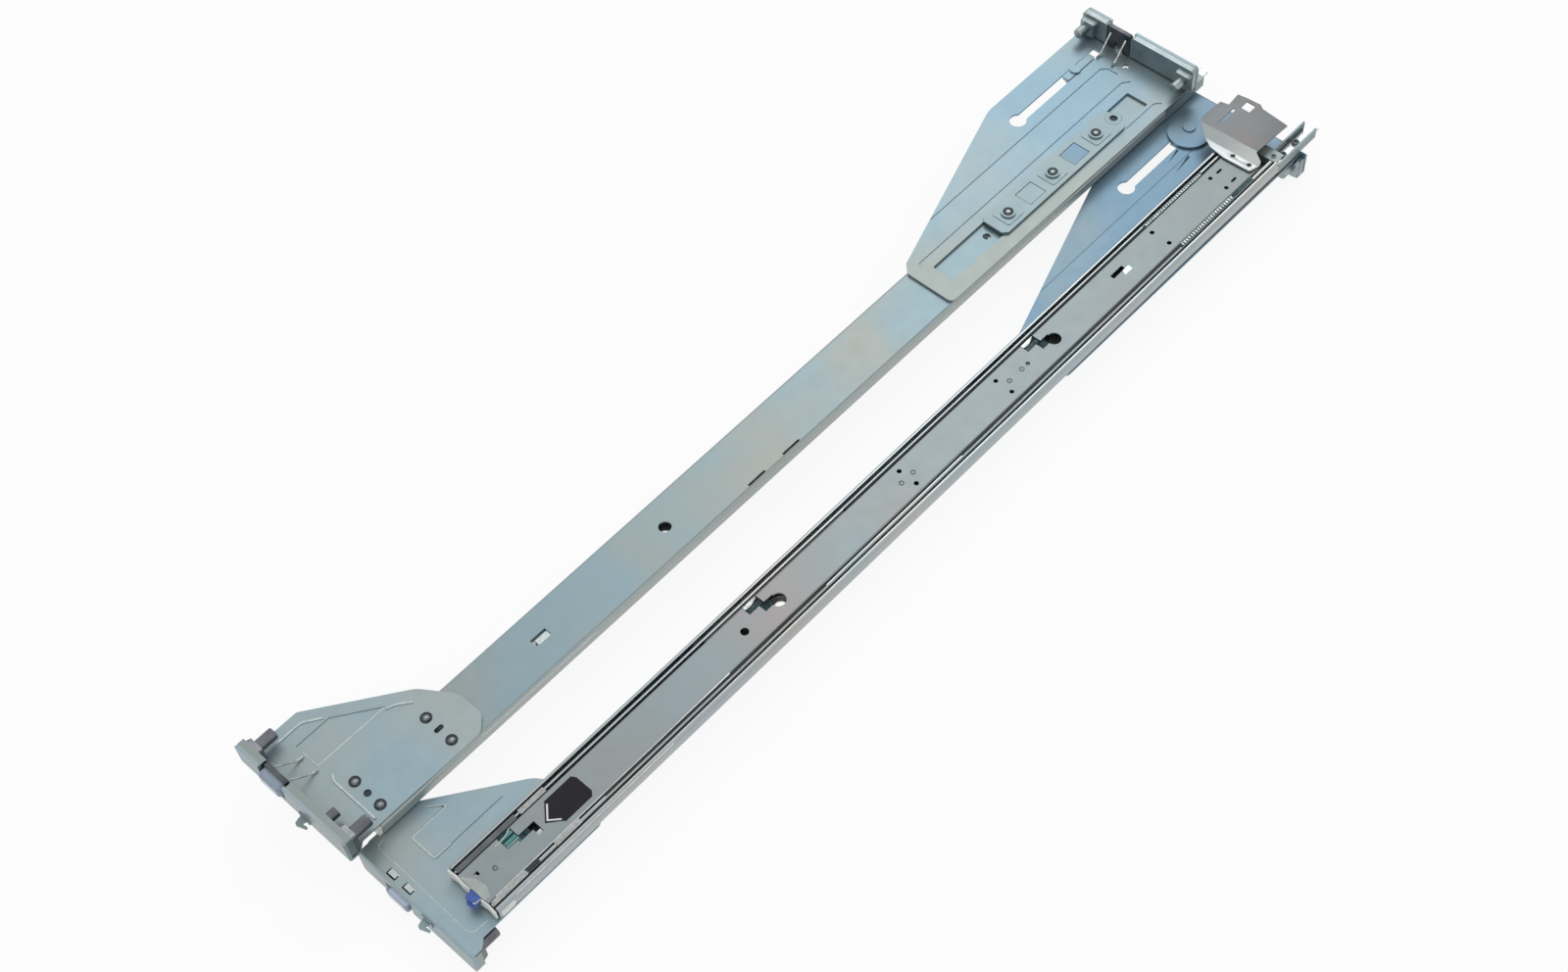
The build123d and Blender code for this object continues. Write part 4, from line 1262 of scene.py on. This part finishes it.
@dataclass
class FoldHighlights:
    """Painted highlights: bright tracks along the folds on each slide's lower edge."""

    width: float = 0.65
    face_z: float = 9.8
    wall_y: Pair = (-19.05, -18.9)
    left_x: Pair = (36.5, 150.0)

    def track(self, x: Pair, y: float) -> Shape:
        """A painted highlight: a flat track along X on the face that looks along Z."""
        z = (self.face_z - 0.1, self.face_z + 0.04)
        return bar(x, (y, y + self.width), z, Finish.BALL_STEEL_AND_HIGHLIGHT, 0.03)

    def wall_track(self, x: Pair, z: float) -> Shape:
        """A painted highlight: a flat track along X on the lower wall."""
        return bar(x, (z, z + self.width), self.wall_y, Finish.BALL_STEEL_AND_HIGHLIGHT, 0.03, (0, 2, 1))

    def build(self) -> None:
        """Makes the painted highlight tracks of the left inner member and of both outer members."""
        inner = [self.track((29.0, 200.0), -11.95)]
        make_piece(Side.LEFT, "inner_fold_highlight", inner, "left_inner")
        left = [self.track(self.left_x, -18.95), self.wall_track(self.left_x, 2.2)]
        make_piece(Side.LEFT, "outer_fold_highlights", left, "rack_side")
        right = [self.wall_track((92.0, 180.0), 1.6)]
        make_piece(Side.RIGHT, "outer_fold_highlights", right, "rack_side")


@dataclass
class CableBracket:
    """The stepped bracket on the rear end of the left rail's inner member.

    It is one sheet: a foot on the slide, a wall that leans back, and a plate. Its height is a
    function of s = x + slope * y: the foot's below fold_start, the plate's above fold_end, and in
    a straight line between them.
    """

    foot_z: float = 11.35
    plate_z: float = 16.3
    fold_start: float = 672.9
    fold_end: float = 678.5
    slope: float = 0.03
    thickness: float = 1.0
    edge: float = 0.18
    weld: float = 0.01
    hole_x: float = 670.5
    hole_y: Pair = (5.9, -6.2)
    hole_radius: float = 1.4
    outline: Line = (
        (665.6, 9.8), (666.2, -8.8), (667.0, -9.8), (672.9, -11.5), (675.4, -11.2),
        (678.0, -5.6), (708.2, -7.1), (710.2, 12.6), (712.4, 16.0), (711.9, 25.4),
        (710.9, 32.3), (700.2, 31.4), (698.9, 36.9), (687.1, 37.8), (680.0, 37.6),
        (675.4, 34.2), (667.7, 21.4),
    )
    openings: tuple[Line, ...] = (
        ((702.6, 17.6), (709.4, 17.6), (709.4, 24.2), (702.6, 24.2)),
        ((683.0, 25.6), (699.5, 25.6), (699.5, 27.2), (683.0, 27.2)),
    )

    def along(self, points: np.ndarray) -> np.ndarray:
        """The distance s of each point, by the formula above."""
        return points[:, 0] + self.slope * points[:, 1]

    def screw_holes(self) -> list[Line]:
        """The two screw holes in the foot."""
        angle = angles(16)
        x = self.hole_x + self.hole_radius * np.cos(angle)
        return [
            np.column_stack([x, y + self.hole_radius * np.sin(angle)]).tolist()
            for y in self.hole_y
        ]

    def triangles(self) -> tuple[np.ndarray, np.ndarray]:
        """Fills the outline, with an edge along each fold, and leaves the openings out.

        Returns:
            The flat corners, n by 2, and the triangles' corner numbers, m by 3.
        """
        rims = [list(self.outline)[::-1], *map(list, self.openings), *self.screw_holes()]
        folds = [
            [(s - self.slope * y, y) for y in (-20.0, 50.0)]
            for s in (self.fold_start, self.fold_end)
        ]
        points, edges = [], []
        for line, closed in [*[(rim, True) for rim in rims], *[(fold, False) for fold in folds]]:
            start, count = len(points), len(line)
            points += line
            runs = count if closed else count - 1
            edges += [(start + k, start + (k + 1) % count) for k in range(runs)]
        filled = delaunay_2d_cdt([Vector(point) for point in points], edges, [], 0, 1e-4)
        corners = np.array([tuple(corner) for corner in filled[0]])
        listed = np.array(filled[2])
        middle = corners[listed].mean(axis=1)
        keep = inside(middle, np.array(rims[0]))
        for rim in rims[1:]:
            keep &= ~inside(middle, np.array(rim))
        return corners, listed[keep]

    def build(self) -> None:
        """Folds the filled outline, gives the foot and the wall the lighter slide finish as a
        painted reflection and the plate the grey paint, and gives the sheet its thickness.
        """
        corners, triangles = self.triangles()
        lift = np.interp(
            self.along(corners), [self.fold_start, self.fold_end], [self.foot_z, self.plate_z]
        )
        top = np.column_stack([corners, lift])
        flat = self.along(corners[triangles].mean(axis=1)) >= self.fold_end
        shapes = []
        # painted reflection: the foot and the wall are painted in the lighter slide finish
        for finish, part in ((Finish.SLIDE, ~flat), (Finish.GREY_PAINT, flat)):
            used, listed = np.unique(triangles[part], return_inverse=True)
            faces = [tuple(face) for face in listed.reshape(-1, 3).tolist()]
            shapes.append(Shape(top[used], faces, finish))
        piece = make_piece(
            Side.LEFT, "bent_bracket", shapes, "left_inner", "cable_bracket"
        )
        piece.data.validate()
        weld = piece.modifiers.new("one_sheet", "WELD")
        weld.merge_threshold = self.weld * MM
        sheet = piece.modifiers.new("sheet", "SOLIDIFY")
        sheet.thickness = self.thickness * MM
        sheet.offset = -1.0
        bevel = piece.modifiers.new("edges", "BEVEL")
        bevel.width = self.edge * MM
        bevel.segments = 2
        bevel.limit_method = "ANGLE"


def inside(points: np.ndarray, rim: np.ndarray) -> np.ndarray:
    """Which points lie inside a rim: their ray to the right crosses it an odd number of times.

    Args:
        points: n by 2.
        rim: the rim's corners, m by 2.

    Returns:
        n flags.
    """
    a, b = rim[None], np.roll(rim, -1, axis=0)[None]
    x, y = points[:, :1], points[:, 1:]
    spans = (a[..., 1] > y) != (b[..., 1] > y)
    rise = np.where(spans, b[..., 1] - a[..., 1], 1.0)
    crossing = a[..., 0] + (y - a[..., 1]) * (b[..., 0] - a[..., 0]) / rise
    return np.sum(spans & (x < crossing), axis=1) % 2 == 1


@dataclass
class LatchSprings:
    """The wire springs that push the latches out, bent over at both ends."""

    radius: float = 0.6
    wires_y: Pair = (29.9, 41.7)
    # The centre line of each spring's wires, as x and z.
    front: Line = ((6.15, -14.6), (7.4, -13.2), (16.0, -5.4), (20.0, -2.6), (23.0, -2.9))
    rear: Line = ((704.7, -14.6), (703.4, -13.2), (697.0, -6.0), (694.0, -3.0), (691.0, -3.2))

    def build(self) -> None:
        """Makes both springs of both rails in the place of the straight CAD wires."""
        for side in Side:
            for name, line in (("front", self.front), ("rear", self.rear)):
                x, z = rounded(line, 1.1).T
                shapes = [
                    tube(
                        np.column_stack([x, np.full(len(x), y), z]),
                        self.radius,
                        Finish.BRIGHT,
                        (0.0, 1.0, 0.0),
                    )
                    for y in self.wires_y
                ]
                body, spring = side.node(f"{name}_latch"), f"{name}_latch_spring"
                make_piece(side, f"{name}_wires", shapes, body, spring)


@dataclass
class Rail:
    """One rail: its CAD nodes and their finishes."""

    side: Side
    finishes: dict[str, Finish] = field(default_factory=dict)

    def __post_init__(self) -> None:
        """Fills in the finish of each CAD node."""
        rear = Finish.REAR_PLATE_LEFT if self.side is Side.LEFT else Finish.REAR_PLATE_RIGHT
        blocks = Finish.DIE_CAST_LEFT if self.side is Side.LEFT else Finish.DIE_CAST_RIGHT
        self.finishes = {
            "outer_member": Finish.WEB if self.side is Side.RIGHT else Finish.SLIDE,
            "intermediate_member": Finish.SLIDE,
            "inner_member": Finish.INNER,
            "outer_ball_cage": Finish.BRIGHT,
            "outer_balls": Finish.BALL_STEEL_AND_HIGHLIGHT,
            "inner_ball_cage": Finish.BRIGHT,
            "inner_balls": Finish.BALL_STEEL_AND_HIGHLIGHT,
            "front_bracket": Finish.FRONT_PLATE,
            "front_rivets": Finish.FRONT_PLATE,
            "front_upper_stud_block": blocks,
            "front_lower_stud_block": blocks,
            "front_latch": Finish.BLACKENED,
            "front_latch_button": Finish.GLASSY_BLUE,
            "front_latch_spring": Finish.BRIGHT,
            "server_hook": Finish.STRAP,
            "front_bumper": Finish.WHITE_TIP,
            "release_lever": Finish.BRIGHT,
            "release_tab": Finish.BLUE_TAB,
            "lock_leaf": Finish.TEAL_LEAF,
            "rear_bracket": rear,
            "rear_upper_stud_block": Finish.DIE_CAST,
            "rear_lower_stud_block": Finish.DIE_CAST,
            "rear_latch": Finish.BLACKENED,
            "rear_latch_spring": Finish.BRIGHT,
            "strap_plate": Finish.STRAP,
            "strap_rivets": Finish.STRAP,
            "slot_slider": rear,
            "cable_bracket": Finish.GREY_PAINT,
            "arm_mount": Finish.STRAP,
            "arm_tongue": Finish.BRIGHT,
        }

    def build(self) -> None:
        """Dresses every CAD node of the rail."""
        for name, finish in self.finishes.items():
            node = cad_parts[self.side.node(name)]
            WARDROBE.dress(node, finish)
            log.info("dressed %s with %s", node.name, finish.value.name)


def pose(right: Triple, up: Triple, back: Triple, place: Triple) -> Matrix:
    """The matrix of an object with these directions of its own X, Y and Z at a place."""
    matrix = np.eye(4)
    matrix[:3] = np.column_stack([right, up, back, place])
    return Matrix(matrix.tolist())


@dataclass
class PhotoCamera:
    """The camera at the photograph's angle, found from points of the rails seen in it."""

    place: Triple = (-0.5409, -0.5482, 1.0547)
    right: Triple = (0.678034, -0.732662, -0.058961)
    up: Triple = (0.623375, 0.530681, 0.574266)
    back: Triple = (-0.389453, -0.426127, 0.816543)
    lens_mm: float = 51.251
    sensor_mm: float = 36.0
    nearest: float = 0.05
    farthest: float = 20.0

    def build(self) -> bpy.types.Object:
        """Makes the camera and sets it as the scene's.

        Returns:
            The camera object.
        """
        data = bpy.data.cameras.new("photo_camera")
        data.lens = self.lens_mm
        data.sensor_width = self.sensor_mm
        data.clip_start = self.nearest
        data.clip_end = self.farthest
        camera = bpy.data.objects.new("photo_camera", data)
        bpy.context.scene.collection.objects.link(camera)
        camera.matrix_world = pose(self.right, self.up, self.back, self.place)
        bpy.context.scene.camera = camera
        return camera


@dataclass
class Studio:
    """A plain pale floor, an even white sky and soft lamps."""

    floor_size: float = 12.0
    floor_z: float = -0.0004
    floor_glow: float = 0.9
    paper: float = 0.85
    sky_level: float = 0.8
    # Each lamp: its name, its place, the length of its side and its power in watts.
    lamps: tuple[tuple[str, Triple, float, float], ...] = (
        ("rear_lamp", (1.5, 1.0, 2.1), 1.4, 12.0),
        ("front_lamp", (-1.3, -0.2, 2.2), 1.6, 3.5),
    )

    def build(self) -> None:
        """Makes the floor, the world and the lamps."""
        self.floor()
        self.world()
        for lamp in self.lamps:
            self.lamp(*lamp)
        bpy.context.scene.view_settings.view_transform = "Standard"

    @staticmethod
    def mirrored(tree: Tree) -> Socket:
        """A mask of 1 for what the camera sees, straight or in metal and clear plastic.

        Args:
            tree: the tree that gets the nodes.

        Returns:
            The mask's output.
        """
        path = add_node(tree, "ShaderNodeLightPath").outputs
        mask = path["Is Camera Ray"]
        for ray in ("Is Glossy Ray", "Is Transmission Ray"):
            both = {0: mask, 1: path[ray]}
            mask = add_node(tree, "ShaderNodeMath", both, operation="MAXIMUM").outputs[0]
        return mask

    def floor(self) -> None:
        """A flat white sheet just under the rails, which takes only their faint shadow."""
        half = self.floor_size / 2
        corners = np.array([[-half, -half], [half, -half], [half, half], [-half, half]])
        mesh = bpy.data.meshes.new("floor")
        points = np.column_stack([corners, np.full(4, self.floor_z)])
        mesh.from_pydata(points.tolist(), [], [(0, 1, 2, 3)])
        floor = bpy.data.objects.new("floor", mesh)
        bpy.context.scene.collection.objects.link(floor)
        material, tree = new_material("white_paper_floor")
        white = (self.paper, self.paper, self.paper, 1.0)
        paper = add_node(tree, "ShaderNodeBsdfDiffuse", {"Color": white}).outputs[0]
        glow = add_node(tree, "ShaderNodeEmission", {"Strength": 1.0}).outputs[0]
        part = {0: self.mirrored(tree), 1: self.floor_glow}
        share = add_node(tree, "ShaderNodeMath", part, operation="MULTIPLY").outputs[0]
        mixed = add_node(tree, "ShaderNodeMixShader", {0: share, 1: paper, 2: glow})
        add_node(tree, "ShaderNodeOutputMaterial", {"Surface": mixed.outputs[0]})
        mesh.materials.append(material)

    def world(self) -> None:
        """An even sky that lights softly and looks white where it is seen or reflected."""
        world = bpy.data.worlds.new("studio_sky")
        bpy.context.scene.world = world
        world.use_nodes = True
        tree = world.node_tree
        tree.nodes.clear()
        level = mapped(tree, self.mirrored(tree), self.sky_level, 1.0)
        light = {"Color": (1.0, 1.0, 1.0, 1.0), "Strength": level}
        sky = add_node(tree, "ShaderNodeBackground", light)
        add_node(tree, "ShaderNodeOutputWorld", {"Surface": sky.outputs[0]})

    @staticmethod
    def lamp(name: str, place: Triple, size: float, watts: float) -> None:
        """Adds a square soft lamp that looks at the middle of the rails.

        Args:
            name: the lamp's name.
            place: where it hangs, in metres.
            size: the length of its side.
            watts: its power.
        """
        data = bpy.data.lights.new(name, "AREA")
        data.size = size
        data.energy = watts
        lamp = bpy.data.objects.new(name, data)
        bpy.context.scene.collection.objects.link(lamp)
        away = np.array(place) / np.linalg.norm(place)
        side = np.cross([0.0, 0.0, 1.0], away)
        side /= np.linalg.norm(side)
        lamp.matrix_world = pose(side, np.cross(away, side), away, place)


DETAILS = (
    InnerFace,
    GapStrips,
    FrontTip,
    PressedLines,
    RivetHeads,
    EndPlates,
    FoldHighlights,
    CableBracket,
    LatchSprings,
)


def main() -> None:
    """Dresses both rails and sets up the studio."""
    logging.basicConfig(level=logging.INFO, format="%(name)s: %(message)s")
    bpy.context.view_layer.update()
    PhotoCamera().build()
    for side in Side:
        Rail(side).build()
    for details in DETAILS:
        details().build()
    Studio().build()


if __name__ == "__main__":
    main()
